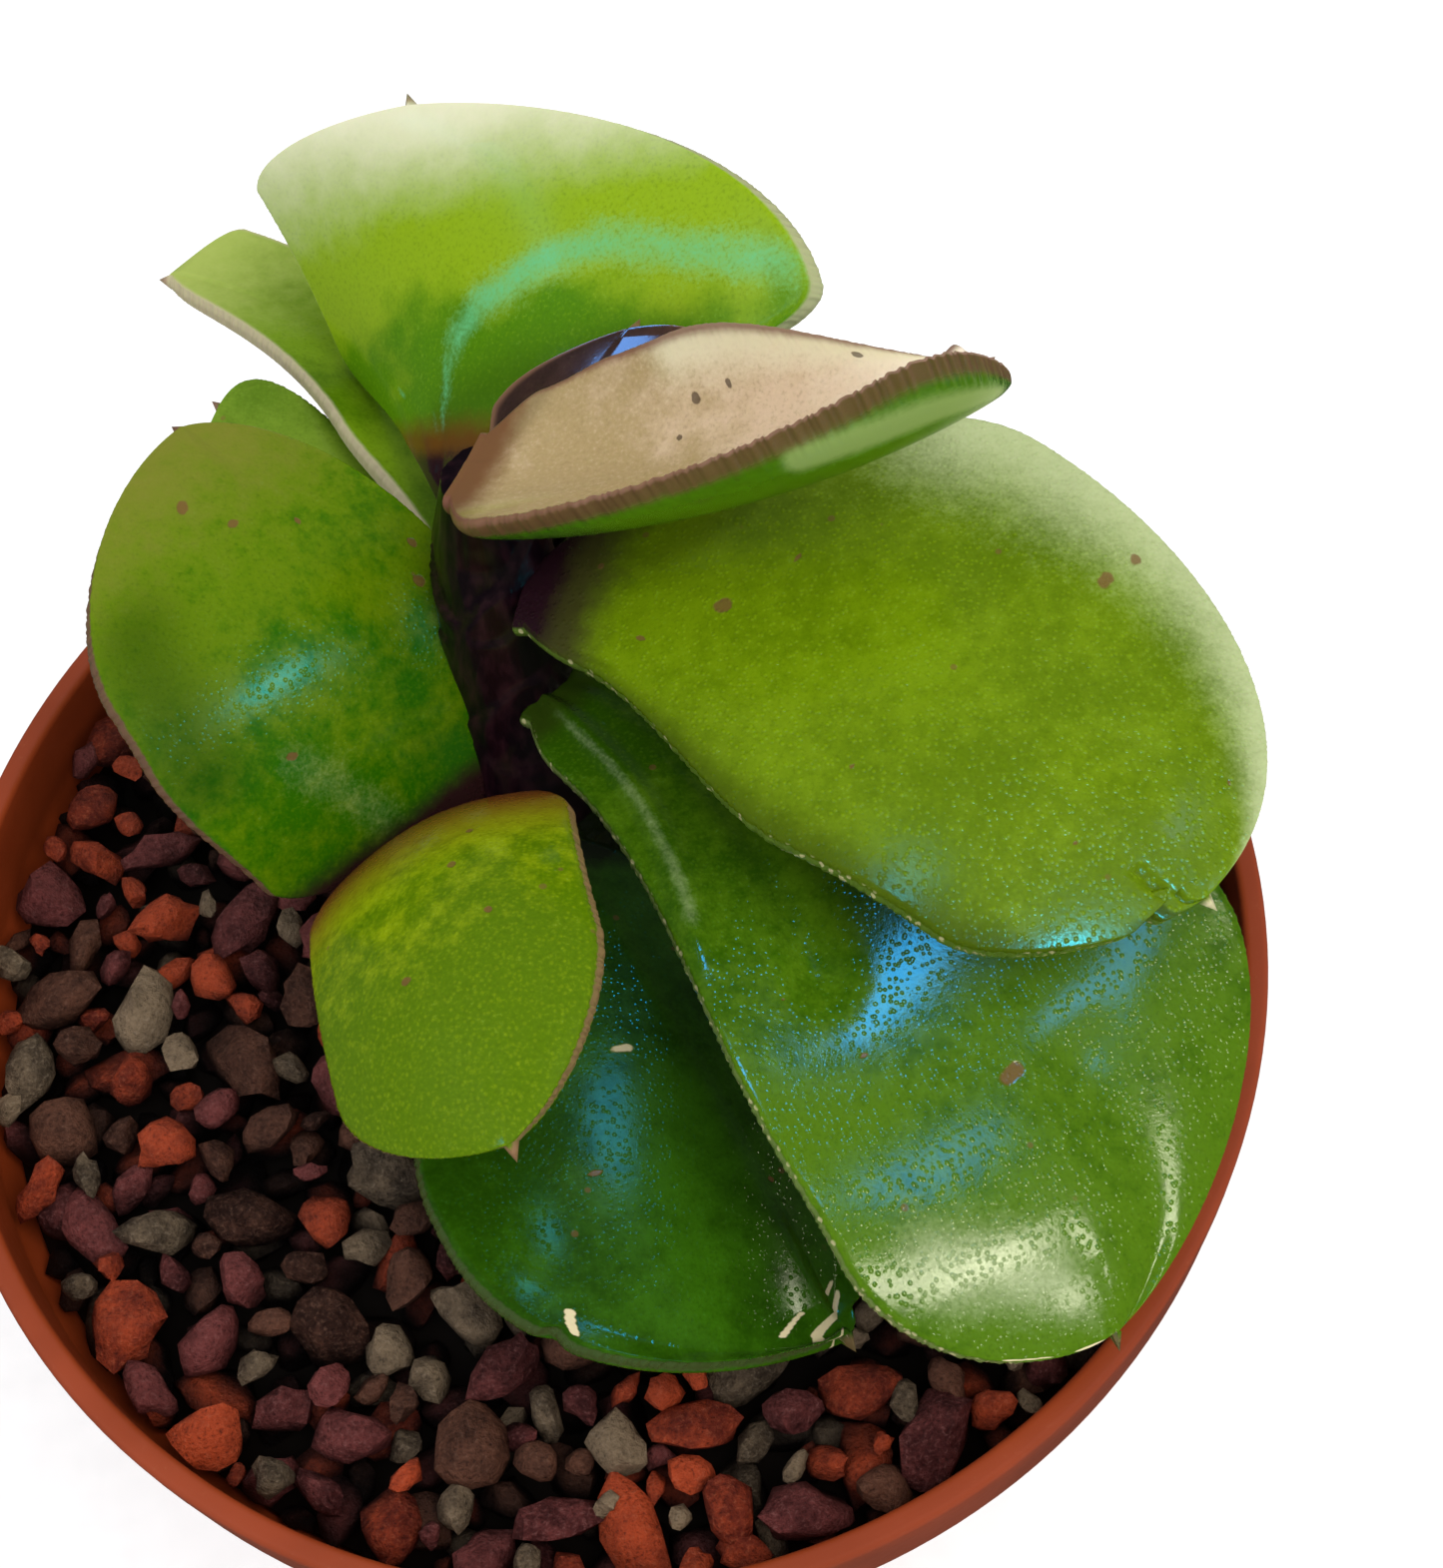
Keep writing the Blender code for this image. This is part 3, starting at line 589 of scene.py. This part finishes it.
def stem_room(tries, radius):
    """A penalty for stones that would stand in a stem where it leaves the grit."""
    cost = np.zeros(len(tries))
    for x, y, r in STEM_ROOMS:
        cost += 20 * np.maximum(r + 0.75 * radius - np.hypot(tries[:, 0] - x, tries[:, 1] - y), 0)
    return cost


def stone_layer(count, radii, z_mean, z_spread, draw):
    """Stone centres spread by best-candidate draws, so that neighbours just touch, largest first."""
    low, high = radii
    spots = []
    for radius in np.sort(low + (high - low) * draw.uniform(size=count) ** 1.6)[::-1]:
        far = (STONE_REACH - 0.8 * radius) * np.sqrt(draw.uniform(size=STONE_TRIES))
        a = draw.uniform(0, 2 * math.pi, STONE_TRIES)
        tries = np.stack([far * np.cos(a), far * np.sin(a)], -1)
        room = np.full(STONE_TRIES, 9.0)
        if spots:
            known = np.array(spots)
            gaps = np.hypot(*(tries[:, None] - known[None, :, :2]).transpose(2, 0, 1)) - known[:, 3] - radius
            room = gaps.min(1)
        room -= stem_room(tries, radius)
        best = tries[room.argmax()]
        spots.append((best[0], best[1], z_mean + draw.uniform(-z_spread, z_spread), radius))
    return spots


def rough_stones(spots, draw):
    """Corner points of worn stones: spheres cut by random planes, lengthened, knobbly and turned.

    Each direction's radius is a soft least of 1.1 and every plane's distance over the cosine to it.
    A stone lies about flat, and it is moved to stay under the top and inside the wall.
    """
    ball = bmesh.new()
    bmesh.ops.create_icosphere(ball, subdivisions=2, radius=1.0)
    ways = unit(np.array([v.co for v in ball.verts]))
    faces = np.array([[v.index for v in f.verts] for f in ball.faces])
    ball.free()
    made = []
    for x, y, z, radius in spots:
        planes = unit(draw.normal(size=(STONE_PLANES, 3)))
        deep = draw.uniform(0.58, 1.0, STONE_PLANES)
        facing = np.maximum(ways @ planes.T, 1e-3)
        r = (((facing / deep) ** STONE_CORNERS).sum(1) + 1.1 ** -STONE_CORNERS) ** (-1 / STONE_CORNERS)
        r = r * (1 + 0.085 * draw.normal(size=len(ways)))
        shape = ways * r[:, None] * radius * draw.uniform((1.0, 0.8, 0.7), (1.65, 1.05, 0.95))
        spin, tip = draw.uniform(0, 2 * math.pi), draw.normal(scale=0.35)
        shape = shape @ np.array(Matrix.Rotation(tip, 3, "Y")).T @ np.array(Matrix.Rotation(spin, 3, "Z")).T
        shape = shape + (x, y, z)
        shape[:, 2] -= max((shape[:, 2] + hollow(shape[:, 0], shape[:, 1])).max() - STONE_TOP, 0.0)
        far = np.hypot(shape[:, 0], shape[:, 1]).max()
        shape[:, :2] -= max(far - STONE_REACH, 0.0) * np.array([x, y]) / math.hypot(x, y)
        made.append(shape)
    return made, faces


def grit_pieces(looks_of):
    """Loose stones of four colours over a near-black bed, whose colour is painted shade in the gaps between
    them.
    """
    draw = np.random.default_rng(23)
    spots = stone_layer(560, (1.0, 2.5), STONE_TOP - 4.6, 0.6, draw)
    spots += stone_layer(470, (0.9, 2.8), STONE_TOP - 2.3, 0.8, draw)
    shapes, faces = rough_stones(spots, draw)
    kinds = draw.choice(4, len(shapes), p=(0.34, 0.30, 0.19, 0.17))
    for kind, (name, looks) in enumerate(looks_of.items()):
        chosen = [s for s, k in zip(shapes, kinds) if k == kind]
        points = np.concatenate(chosen)
        corners = (faces[None] + np.arange(len(chosen))[:, None, None] * len(chosen[0])).reshape(-1, 3)
        made = piece(name, points, corners.tolist(), looks, "grit_bed")
        mark(made, "stone", np.repeat(draw.uniform(size=len(chosen)), len(chosen[0])))
        made.data.set_sharp_from_angle(angle=math.radians(48))


class Value:
    """A socket of a node tree.  Arithmetic on it adds Math nodes."""

    def __init__(self, nodes, socket):
        self.nodes = nodes
        self.socket = socket

    def __add__(self, other):
        return self.nodes.node("ShaderNodeMath", {"operation": "ADD"}, self, other)

    def __sub__(self, other):
        return self.nodes.node("ShaderNodeMath", {"operation": "SUBTRACT"}, self, other)

    def __mul__(self, other):
        return self.nodes.node("ShaderNodeMath", {"operation": "MULTIPLY"}, self, other)

    def __rsub__(self, other):
        return self.nodes.node("ShaderNodeMath", {"operation": "SUBTRACT"}, other, self)

    __radd__ = __add__
    __rmul__ = __mul__

    def step(self, low, high):
        """0 below low, 1 above high and a soft step between them; low may be the greater."""
        return self.nodes.node("ShaderNodeMapRange", {"interpolation_type": "SMOOTHSTEP"}, self, low, high)


class Nodes:
    """A node tree under construction."""

    def __init__(self, tree):
        self.tree = tree

    def node(self, kind, settings, *values, out=0, **named):
        """A node of this type, with its settings first and then its sockets' values or links."""
        made = self.tree.nodes.new(kind)
        for key, value in settings.items():
            setattr(made, key, value)
        pairs = list(enumerate(values)) + [(k.replace("_", " "), v) for k, v in named.items()]
        for key, value in pairs:
            self.plug(made.inputs[key], value)
        return Value(self, made.outputs[out])

    def plug(self, socket, value):
        """Link a socket to a value, or set its constant."""
        if isinstance(value, Value):
            self.tree.links.new(value.socket, socket)
        elif isinstance(value, tuple) and len(value) == 3 and socket.type == "RGBA":
            socket.default_value = (*value, 1.0)
        else:
            socket.default_value = value

    def mix(self, factor, a, b):
        """A colour from a to b by the factor."""
        made = self.tree.nodes.new("ShaderNodeMix")
        made.data_type = "RGBA"
        for key, value in ((0, factor), (6, a), (7, b)):
            self.plug(made.inputs[key], value)
        return Value(self, made.outputs[2])


class Finish(Nodes):
    """A material under construction."""

    def __init__(self, name, **constants):
        self.material = bpy.data.materials.new(name)
        self.material.use_nodes = True
        super().__init__(self.material.node_tree)
        self.shader = self.tree.nodes["Principled BSDF"]
        for key, value in constants.items():
            self.set(key.replace("_", " ").title(), value)
        self.place = self.node("ShaderNodeTexCoord", {}, out="Object")

    def set(self, name, value):
        """Link or set an input of the surface."""
        self.plug(self.shader.inputs[name], value)

    def read(self, name):
        """A number stored on the mesh."""
        return self.node("ShaderNodeAttribute", {"attribute_name": name}, out="Fac")

    def noise(self, size, detail=3.0, rough=0.55, shift=0.0):
        """Cloudy noise whose lumps are about this size in millimetres, from 0 to 1."""
        where = self.place
        if shift:
            where = self.node("ShaderNodeVectorMath", {"operation": "ADD"}, where, (shift, shift * 0.7, -shift))
        return self.node("ShaderNodeTexNoise", {}, Vector=where, Scale=1000.0 / size, Detail=detail,
                         Roughness=rough)

    def cells(self, size):
        """Distance to the nearest of scattered points this many millimetres apart."""
        return self.node("ShaderNodeTexVoronoi", {}, Vector=self.place, Scale=1000.0 / size, out="Distance")

    def bump(self, height, distance):
        """A Normal from a height in shares of this distance in millimetres."""
        self.set("Normal", self.node("ShaderNodeBump", {}, Height=height, Distance=distance * MM))


def blend(a, b, share):
    """A colour this share of the way from a to b."""
    return tuple((1 - share) * x + share * y for x, y in zip(a, b))


def scaled(colour, share):
    """A colour brighter or darker by this factor."""
    return tuple(share * c for c in colour)


def waxy(name, deep, light, base, margin, under=None, tip=None, ring=None, base_end=0.1, margin_width=0.14,
         warts=0.5, roughness=0.18, brown=(0.17, 0.07, 0.03), blotch=0.3, freckles=0.5, dots=0.0, climb=0.0,
         mucro=None):
    """A waxy leaf: two mottled greens, a tinted base and margin, fine warts, spots and scars, with painted
    highlights, haze and shade.
    """
    f = Finish(name, roughness=roughness, subsurface_weight=0.1, subsurface_radius=(0.4, 1.0, 0.2),
               subsurface_scale=0.001)
    clouds = f.noise(9.0, 2.0)
    mottle = f.noise(1.6, 4.0, 0.65, shift=0.3)
    grain = f.noise(0.3, 2.0, 0.6, shift=0.7)
    along = f.read("along")
    rim = f.read("rim")
    back = f.read("under")
    sheen_shade_and_wear = f.read("sheen_shade_and_wear")
    painted_arc = f.read("painted_arc")

    # Two greens in clouds, with finer grain and warts
    # climb moves the greens along the leaf; on the back top and upper right leaves it is painted haze towards
    # the tip
    green = (clouds * (1 - blotch) + mottle * blotch + (along - 0.4) * climb).step(0.36, 0.64)
    colour = f.mix(green, deep, light)
    colour = f.mix(grain.step(0.5, 0.8) * 0.25, colour, scaled(light, 1.25))
    colour = f.mix(grain.step(0.5, 0.25) * 0.3, colour, scaled(deep, 0.6))
    wart = f.cells(0.45).step(0.45, 0.1)
    colour = f.mix(wart * (0.2 * warts), colour, scaled(light, 1.5))

    # The tip, the lower face, the painted highlight, haze and shade streaks and the painted highlight arc
    # A pale colour for painted highlights and glare, and for the leaf's own paler wear
    sheen_and_wear_colour = blend(light, (0.85, 0.88, 0.6), 0.5)
    # On the back top and upper right leaves the pale tip colour is painted haze
    if tip:
        end = (along + (clouds - 0.5) * 0.15 + (mottle - 0.5) * blotch * 0.6).step(0.62, 1.0)
        colour = f.mix(end * 0.85, colour, tip)
    if under:
        colour = f.mix(back, colour, f.mix(mottle.step(0.3, 0.7), under, scaled(under, 1.3)))
        # On the lower face the pale colour is a painted reflection
        sheen_and_wear_colour = f.mix(back, sheen_and_wear_colour, blend(under, (0.50, 0.62, 0.22), 0.6))
    # Positive streaks paint highlight, glare and wear in the pale colour, negative streaks paint shade
    colour = f.mix((sheen_shade_and_wear + (mottle - 0.5) * 0.3 + (grain - 0.5) * 0.3).step(0.1, 1.0) * 0.9, colour, sheen_and_wear_colour)
    colour = f.mix(sheen_shade_and_wear.step(0.0, -1.0) * 0.8, colour, scaled(deep, 0.3))
    # A painted bluish highlight arc, a reflection painted into the colour
    painted_arc_mask = (painted_arc + (mottle - 0.5) * 0.5 + (grain - 0.5) * 0.7).step(0.1, 1.05)
    colour = f.mix(painted_arc_mask * 0.9, colour, PAINTED_ARC_COLOUR)

    # The base and the margin
    ragged = along + (mottle - 0.5) * 0.04
    if ring:
        colour = f.mix(ragged.step(base_end * 2.2, base_end), colour, ring)
    colour = f.mix(ragged.step(base_end, base_end * 0.3), colour, base)
    edge = (rim + (mottle - 0.5) * 0.3).step(margin_width * 2.2, margin_width * 0.7)
    colour = f.mix(edge * 0.85, colour, margin)
    if dots:
        beads = rim.step(0.5, 0.15) * f.cells(0.75).step(0.34, 0.22)
        colour = f.mix(beads * dots, colour, (0.62, 0.56, 0.30))

    # Freckles, spots, scars and the point
    freckle = f.cells(4.3).step(0.075, 0.05) * f.noise(14.0, 1.0, shift=1.1).step(0.42, 0.55)
    marks = (f.read("spot") + (mottle - 0.5) * 0.35).step(0.35, 0.55)
    colour = f.mix(freckle * freckles + marks * 0.75, colour, brown)
    scars = (f.read("scar") + (mottle - 0.5) * 0.5).step(0.4, 0.6)
    colour = f.mix(scars, colour, (0.72, 0.62, 0.36))
    colour = f.mix(f.read("point").step(0.25, 0.6), colour, mucro or blend(margin, (0.3, 0.16, 0.08), 0.5))
    f.set("Base Color", colour)
    f.set("Roughness", (mottle - 0.5) * 0.08 + roughness + edge * 0.15 + scars * 0.25)
    f.bump(wart * warts + grain * 0.3 * warts + mottle * 0.12 - marks * 1.5 - scars * 2.0, 0.022)
    return f.material


def sheath_finish():
    """Smooth dark purple sheath, near black as partly painted shade in the seam between the leaf bases, with
    fine lengthwise streaks and reddish collar edges.
    """
    f = Finish("sheath", roughness=0.3)
    tall = f.node("ShaderNodeMapping", {}, Vector=f.place, Scale=(1.0, 1.0, 0.12))
    streak = f.node("ShaderNodeTexNoise", {}, Vector=tall, Scale=1100.0, Detail=3.0)
    patch = f.noise(4.0, 2.0, shift=0.9)
    # The near-black colours are partly painted shade in the seam between the leaf bases
    colour = f.mix(streak.step(0.4, 0.75), (0.005, 0.001, 0.004), (0.022, 0.006, 0.010))
    colour = f.mix(patch.step(0.55, 0.8) * 0.4, colour, (0.03, 0.03, 0.008))
    colour = f.mix(f.read("edge") * streak * 0.3, colour, (0.04, 0.012, 0.012))
    f.set("Base Color", colour)
    f.bump(streak, 0.05)
    return f.material


def stone_finish(name, dark, light, dust):
    """Fine-grained lava: every stone its own shade, clouded and finely rough, and darker lower down as painted
    shade in the gaps between the stones.
    """
    f = Finish(name, roughness=0.75)
    shade = f.read("stone")
    patch = f.noise(2.0, 4.0, 0.7)
    grain = f.noise(0.35, 4.0, 0.7, shift=0.4)
    colour = f.mix((shade * 0.45 + patch * 1.1 - 0.28).step(0.12, 0.85), dark, light)
    colour = f.mix(grain.step(0.5, 0.75) * 0.45, colour, dust)
    colour = f.mix(grain.step(0.5, 0.25) * 0.75, colour, scaled(dark, 0.3))
    # Painted shade: darker towards the bottom of the grit, for the gaps between the stones
    height = f.node("ShaderNodeSeparateXYZ", {}, f.place, out="Z")
    painted_gap_shade = height.step((STONE_TOP - 1.2) * MM, (STONE_TOP - 4.6) * MM)
    colour = f.mix(painted_gap_shade, colour, (0.003, 0.002, 0.002))
    f.set("Base Color", colour)
    f.bump(patch * 0.5 + f.noise(0.9, 3.0, 0.65, shift=1.4) * 0.9 + grain * 0.9, 0.42)
    return f.material


def pot_finish():
    """Terracotta-coloured moulded plastic, slightly scuffed."""
    f = Finish("terracotta_plastic", roughness=0.4)
    cloud = f.noise(14.0, 3.0)
    scuff = f.noise(0.8, 5.0, 0.7, shift=0.5)
    colour = f.mix(cloud.step(0.35, 0.65), (0.255, 0.038, 0.008), (0.305, 0.047, 0.011))
    colour = f.mix(scuff.step(0.6, 0.8) * 0.3, colour, (0.45, 0.14, 0.06))
    f.set("Base Color", colour)
    f.set("Roughness", scuff * 0.2 + 0.32)
    f.bump(scuff * 0.5 + f.noise(0.2, 2.0) * 0.2, 0.03)
    return f.material


def plain_finish(name, colour, roughness, glow=0.0):
    """A finish with a faint cloudiness for the near-black fill under the stones, whose colour is painted shade
    in their gaps, and for the floor.
    """
    f = Finish(name, roughness=roughness, emission_color=(1.0, 1.0, 1.0), emission_strength=glow)
    f.set("Base Color", f.mix(f.noise(3.0, 3.0), colour, scaled(colour, 0.85)))
    return f.material


def camera():
    """The photograph's viewpoint: above the front edge, looking down along +Y and rolled a little."""
    el, roll = math.radians(CAMERA_ELEVATION), math.radians(CAMERA_ROLL)
    back = Vector((0.0, -math.cos(el), math.sin(el)))
    level = Vector((1.0, 0.0, 0.0))
    upright = back.cross(level)
    right = math.cos(roll) * level + math.sin(roll) * upright
    up = -math.sin(roll) * level + math.cos(roll) * upright
    data = bpy.data.cameras.new("camera")
    data.sensor_fit = "AUTO"
    data.sensor_width = SENSOR
    data.lens = CAMERA_FOCUS * SENSOR / PHOTO_HEIGHT
    data.clip_start = 0.005
    eye = bpy.data.objects.new("camera", data)
    bpy.context.scene.collection.objects.link(eye)
    turn = Matrix((right, up, back)).transposed().to_4x4()
    eye.matrix_world = Matrix.Translation(CAMERA_PLACE) @ turn
    bpy.context.scene.camera = eye


def studio():
    """White surroundings that light the plant evenly.  In the gloss they are nearly black."""
    world = bpy.data.worlds.new("studio")
    bpy.context.scene.world = world
    world.use_nodes = True
    world.cycles.sampling_method = "NONE"
    f = Nodes(world.node_tree)
    f.tree.nodes.clear()
    way = f.node("ShaderNodeTexCoord", {}, out="Generated")
    height = f.node("ShaderNodeSeparateXYZ", {}, way, out="Z")
    sky = f.mix(height.step(0.25, 0.05), (0.03, 0.032, 0.035), (0.06, 0.06, 0.055))
    path = f.tree.nodes.new("ShaderNodeLightPath")
    colour = f.mix(Value(f, path.outputs["Is Glossy Ray"]), SKY_LIGHT, sky)
    colour = f.mix(Value(f, path.outputs["Is Camera Ray"]), colour, (1.0, 1.0, 1.0))
    background = f.node("ShaderNodeBackground", {}, colour, 1.0)
    output = f.tree.nodes.new("ShaderNodeOutputWorld")
    f.tree.links.new(background.socket, output.inputs["Surface"])


def softbox(name, heading, elevation, far, size, power, colour):
    """A square area light that looks at the plant and doesn't show in its gloss."""
    data = bpy.data.lights.new(name, "AREA")
    data.size = size
    data.energy = power
    data.color = colour
    box = bpy.data.objects.new(name, data)
    bpy.context.scene.collection.objects.link(box)
    a, e = math.radians(heading), math.radians(elevation)
    away = Vector((math.cos(e) * math.cos(a), math.cos(e) * math.sin(a), math.sin(e)))
    box.location = Vector((0.0, 0.0, LOOK_HEIGHT)) + away * far
    box.rotation_euler = away.to_track_quat("Z", "Y").to_euler()
    box.visible_glossy = False


# Lamps that show in one leaf's gloss: share along and across, radius in degrees, colour, strength
GLINT_DISTANCE = 0.25      # from the leaf, in metres
BLUE = (0.01, 0.5, 1.0)
AQUA = (0.05, 0.7, 0.9)
VIOLET = (0.15, 0.4, 1.0)
WARM = (1.0, 0.97, 0.72)
GLINTS = {
    "leaf_heart": ((0.82, -0.04, 9.0, VIOLET, 18.0), (0.87, 0.75, 7.0, VIOLET, 16.0),
                   (0.9, -0.5, 8.0, VIOLET, 18.0)),
    "leaf_back_top": ((0.50, -0.36, 1.6, AQUA, 5.0), (0.44, -0.88, 1.6, AQUA, 6.0)),
    "offset_leaf_back": ((0.429, 0.38, 2.8, (0.01, 0.65, 0.8), 20.0), (0.367, -0.44, 1.5, AQUA, 4.0)),
    "leaf_front_low": ((0.554, -0.40, 1.5, BLUE, 50.0), (0.90, -0.18, 1.2, WARM, 16.0),
                       (0.73, -0.9, 1.2, AQUA, 8.0)),
    "leaf_right_low": ((0.57, -0.21, 4.2, (0.03, 0.42, 1.0), 22.0),
                       (0.696, 0.47, 3.0, (0.04, 0.45, 1.0), 9.0),
                       (0.405, -0.88, 1.2, BLUE, 10.0), (0.846, -0.40, 3.0, WARM, 17.0),
                       (0.825, -0.75, 2.0, WARM, 15.0), (0.926, -0.18, 2.0, WARM, 14.0)),
    "leaf_right_middle": ((0.819, -0.69, 3.2, AQUA, 75.0), (0.78, -0.80, 2.0, AQUA, 50.0),
                          (0.466, -0.87, 1.4, AQUA, 50.0), (0.898, 0.14, 1.6, (0.4, 0.7, 0.9), 14.0),
                          (0.976, 0.08, 1.6, (0.2, 0.6, 1.0), 25.0)),
    "offset_leaf_front": ((0.952, -0.04, 2.0, AQUA, 20.0),),
}


def leaf_lamps(node, made, lamps):
    """Round lamps that light one leaf's gloss alone.

    Each stands where the leaf mirrors the camera's view: the view direction is reflected about
    the normal, which is the cross product of the blade's two slopes at the given shares.
    """
    size = LEAVES[node]
    lit = bpy.data.collections.new(node + "_gloss")
    lit.objects.link(made)
    h = 0.6 / size["length"]
    for along, across, radius, colour, strength in lamps:
        u, v = np.meshgrid(along + h * np.arange(-1, 2), across + h * np.arange(-1, 2), indexing="ij")
        upper = blade(node, size, u, np.clip(v, -0.999, 0.999))[0] * MM
        normal = np.cross(upper[2, 1] - upper[0, 1], upper[1, 2] - upper[1, 0])
        normal *= np.sign(normal[2]) / np.linalg.norm(normal)
        view = unit(np.array(CAMERA_PLACE) - upper[1, 1])
        mirror = Vector(2 * (normal @ view) * normal - view)
        reach = GLINT_DISTANCE * math.tan(math.radians(radius))
        data = bpy.data.lights.new(node + "_lamp", "AREA")
        data.shape = "DISK"
        data.size = 2 * reach
        data.energy = strength * math.pi * math.pi * reach ** 2
        data.color = colour
        lamp = bpy.data.objects.new(node + "_lamp", data)
        bpy.context.scene.collection.objects.link(lamp)
        lamp.location = Vector(upper[1, 1]) + mirror * GLINT_DISTANCE
        lamp.rotation_euler = mirror.to_track_quat("Z", "Y").to_euler()
        lamp.visible_diffuse = False
        lamp.visible_transmission = False
        lamp.visible_camera = False
        lamp.light_linking.receiver_collection = lit
        lamp.light_linking.blocker_collection = lit


def floor():
    """A plain pale floor under the pot."""
    mesh = bpy.data.meshes.new("floor")
    corners = [(x * FLOOR_HALF, y * FLOOR_HALF, 0) for x, y in ((-1, -1), (1, -1), (1, 1), (-1, 1))]
    mesh.from_pydata(corners, [], [(0, 1, 2, 3)])
    mesh.materials.append(plain_finish("floor_white", (0.93, 0.93, 0.93), 0.6, 0.25))
    made = bpy.data.objects.new("floor", mesh)
    bpy.context.scene.collection.objects.link(made)
    made.visible_glossy = False


# What each leaf's finish is given, and a slot name, which is not used
LEAF_LOOKS = {
    "leaf_front_low": dict(
        slot="leaf_dark", deep=(0.014, 0.055, 0.001), light=(0.034, 0.12, 0.003), base=(0.01, 0.015, 0.004),
        margin=(0.05, 0.08, 0.02), warts=0.4, roughness=0.12),
    "leaf_right_low": dict(
        slot="leaf_green", deep=(0.026, 0.085, 0.001), light=(0.075, 0.165, 0.004), base=(0.025, 0.05, 0.003),
        base_end=0.06, margin=(0.16, 0.22, 0.06), warts=0.8, roughness=0.13, dots=0.7, blotch=0.5, climb=0.3),
    "leaf_right_middle": dict(
        slot="leaf_green", deep=(0.10, 0.175, 0.001), light=(0.155, 0.255, 0.002), base=(0.020, 0.006, 0.010),
        base_end=0.07, ring=(0.05, 0.05, 0.01), margin=(0.10, 0.17, 0.02), mucro=(0.75, 0.68, 0.40),
        warts=1.6, dots=0.7, blotch=0.45, climb=-0.1),
    # The upper right leaf's pale tan, lighter towards the tip, is partly painted haze
    "leaf_right_top": dict(
        slot="leaf_tan", deep=(0.38, 0.28, 0.13), light=(0.60, 0.45, 0.30), base=(0.16, 0.075, 0.03),
        margin=(0.17, 0.066, 0.04), margin_width=0.42, under=(0.05, 0.15, 0.002), tip=(0.92, 0.84, 0.66),
        brown=(0.05, 0.03, 0.02), warts=0.2, climb=0.7),
    # The heart leaf's near-black browns are partly painted shade of the pocket it sits in
    "leaf_heart": dict(
        slot="leaf_brown", deep=(0.03, 0.016, 0.012), light=(0.06, 0.03, 0.02), base=(0.03, 0.015, 0.012),
        margin=(0.26, 0.13, 0.07), margin_width=0.75, warts=0.1, roughness=0.14),
    # The back top leaf's whitish tip colour and climb are painted haze
    "leaf_back_top": dict(
        slot="leaf_bright", deep=(0.075, 0.215, 0.001), light=(0.24, 0.38, 0.006), base=(0.02, 0.006, 0.008),
        base_end=0.08, ring=(0.12, 0.05, 0.004), margin=(0.42, 0.42, 0.24), margin_width=0.3,
        tip=(0.80, 0.77, 0.58), warts=0.1, blotch=0.15, freckles=0.0, climb=1.3),
    "leaf_back_middle": dict(
        slot="leaf_green", deep=(0.08, 0.17, 0.002), light=(0.15, 0.27, 0.006), base=(0.06, 0.025, 0.02),
        margin=(0.5, 0.42, 0.28), margin_width=0.4, tip=(0.42, 0.50, 0.12), warts=0.2, freckles=0.0,
        climb=0.4),
    "leaf_back_low": dict(
        slot="leaf_green", deep=(0.10, 0.19, 0.01), light=(0.17, 0.28, 0.02), base=(0.06, 0.03, 0.02),
        margin=(0.35, 0.2, 0.14), margin_width=0.25, warts=0.3),
    "offset_leaf_back": dict(
        slot="leaf_offset", deep=(0.018, 0.115, 0.0), light=(0.11, 0.195, 0.001), base=(0.03, 0.01, 0.01),
        margin=(0.16, 0.07, 0.05), margin_width=0.22, tip=(0.20, 0.20, 0.025), blotch=0.5, climb=0.4),
    "offset_leaf_front": dict(
        slot="leaf_offset", deep=(0.085, 0.165, 0.001), light=(0.25, 0.335, 0.003), base=(0.22, 0.07, 0.01),
        base_end=0.4, margin=(0.25, 0.14, 0.07), margin_width=0.17, warts=0.7, blotch=0.6, climb=-0.6),
}


camera()
studio()
softbox("key_light", -30, 60, 0.9, 0.7, 5.5, (1.0, 0.98, 0.94))
softbox("fill_light", 190, 45, 0.9, 0.8, 2.0, (0.94, 0.97, 1.0))
floor()
pot_piece(pot_finish())
gap_fill_profile = [(0.0, BED_TOP), (10.0, BED_TOP), (inner_radius(BED_TOP) - FIT_GAP, BED_TOP),
                 (inner_radius(FLOOR + 1.5) - FIT_GAP, FLOOR + 1.5),
                 (inner_radius(FLOOR) - FIT_GAP - 1.5, FLOOR + FIT_GAP), (10.0, FLOOR + FIT_GAP),
                 (0.0, FLOOR + FIT_GAP)]
# The fill's near-black colour is painted shade in the gaps between the stones
gap_shade_fill = plain_finish("gap_shade_fill", (0.006, 0.004, 0.003), 0.95)
turned("grit_gap_shade_fill", gap_fill_profile, 120, gap_shade_fill, "grit_bed")
grit_pieces({
    "stones_red": stone_finish("red_lava", (0.10, 0.010, 0.004), (0.44, 0.058, 0.014), (0.5, 0.13, 0.06)),
    "stones_maroon": stone_finish("maroon_lava", (0.04, 0.006, 0.006), (0.19, 0.042, 0.038), (0.30, 0.12, 0.11)),
    "stones_brown": stone_finish("brown_lava", (0.022, 0.007, 0.004), (0.13, 0.048, 0.026), (0.22, 0.11, 0.07)),
    "stones_grey": stone_finish("grey_pumice", (0.04, 0.026, 0.015), (0.23, 0.160, 0.095), (0.34, 0.26, 0.18)),
})
stem_piece("main_stem", MAIN_STEM, MAIN_COLLARS, sheath_finish())
stem_piece("offset_stem", OFFSET_STEM, OFFSET_COLLARS, sheath_finish())
for node, looks in LEAF_LOOKS.items():
    slot = looks.pop("slot")
    leaf_made = leaf_piece(node, waxy(node + "_skin", **looks))
    leaf_lamps(node, leaf_made, GLINTS.get(node, ()))

bpy.context.scene.view_settings.view_transform = "Standard"
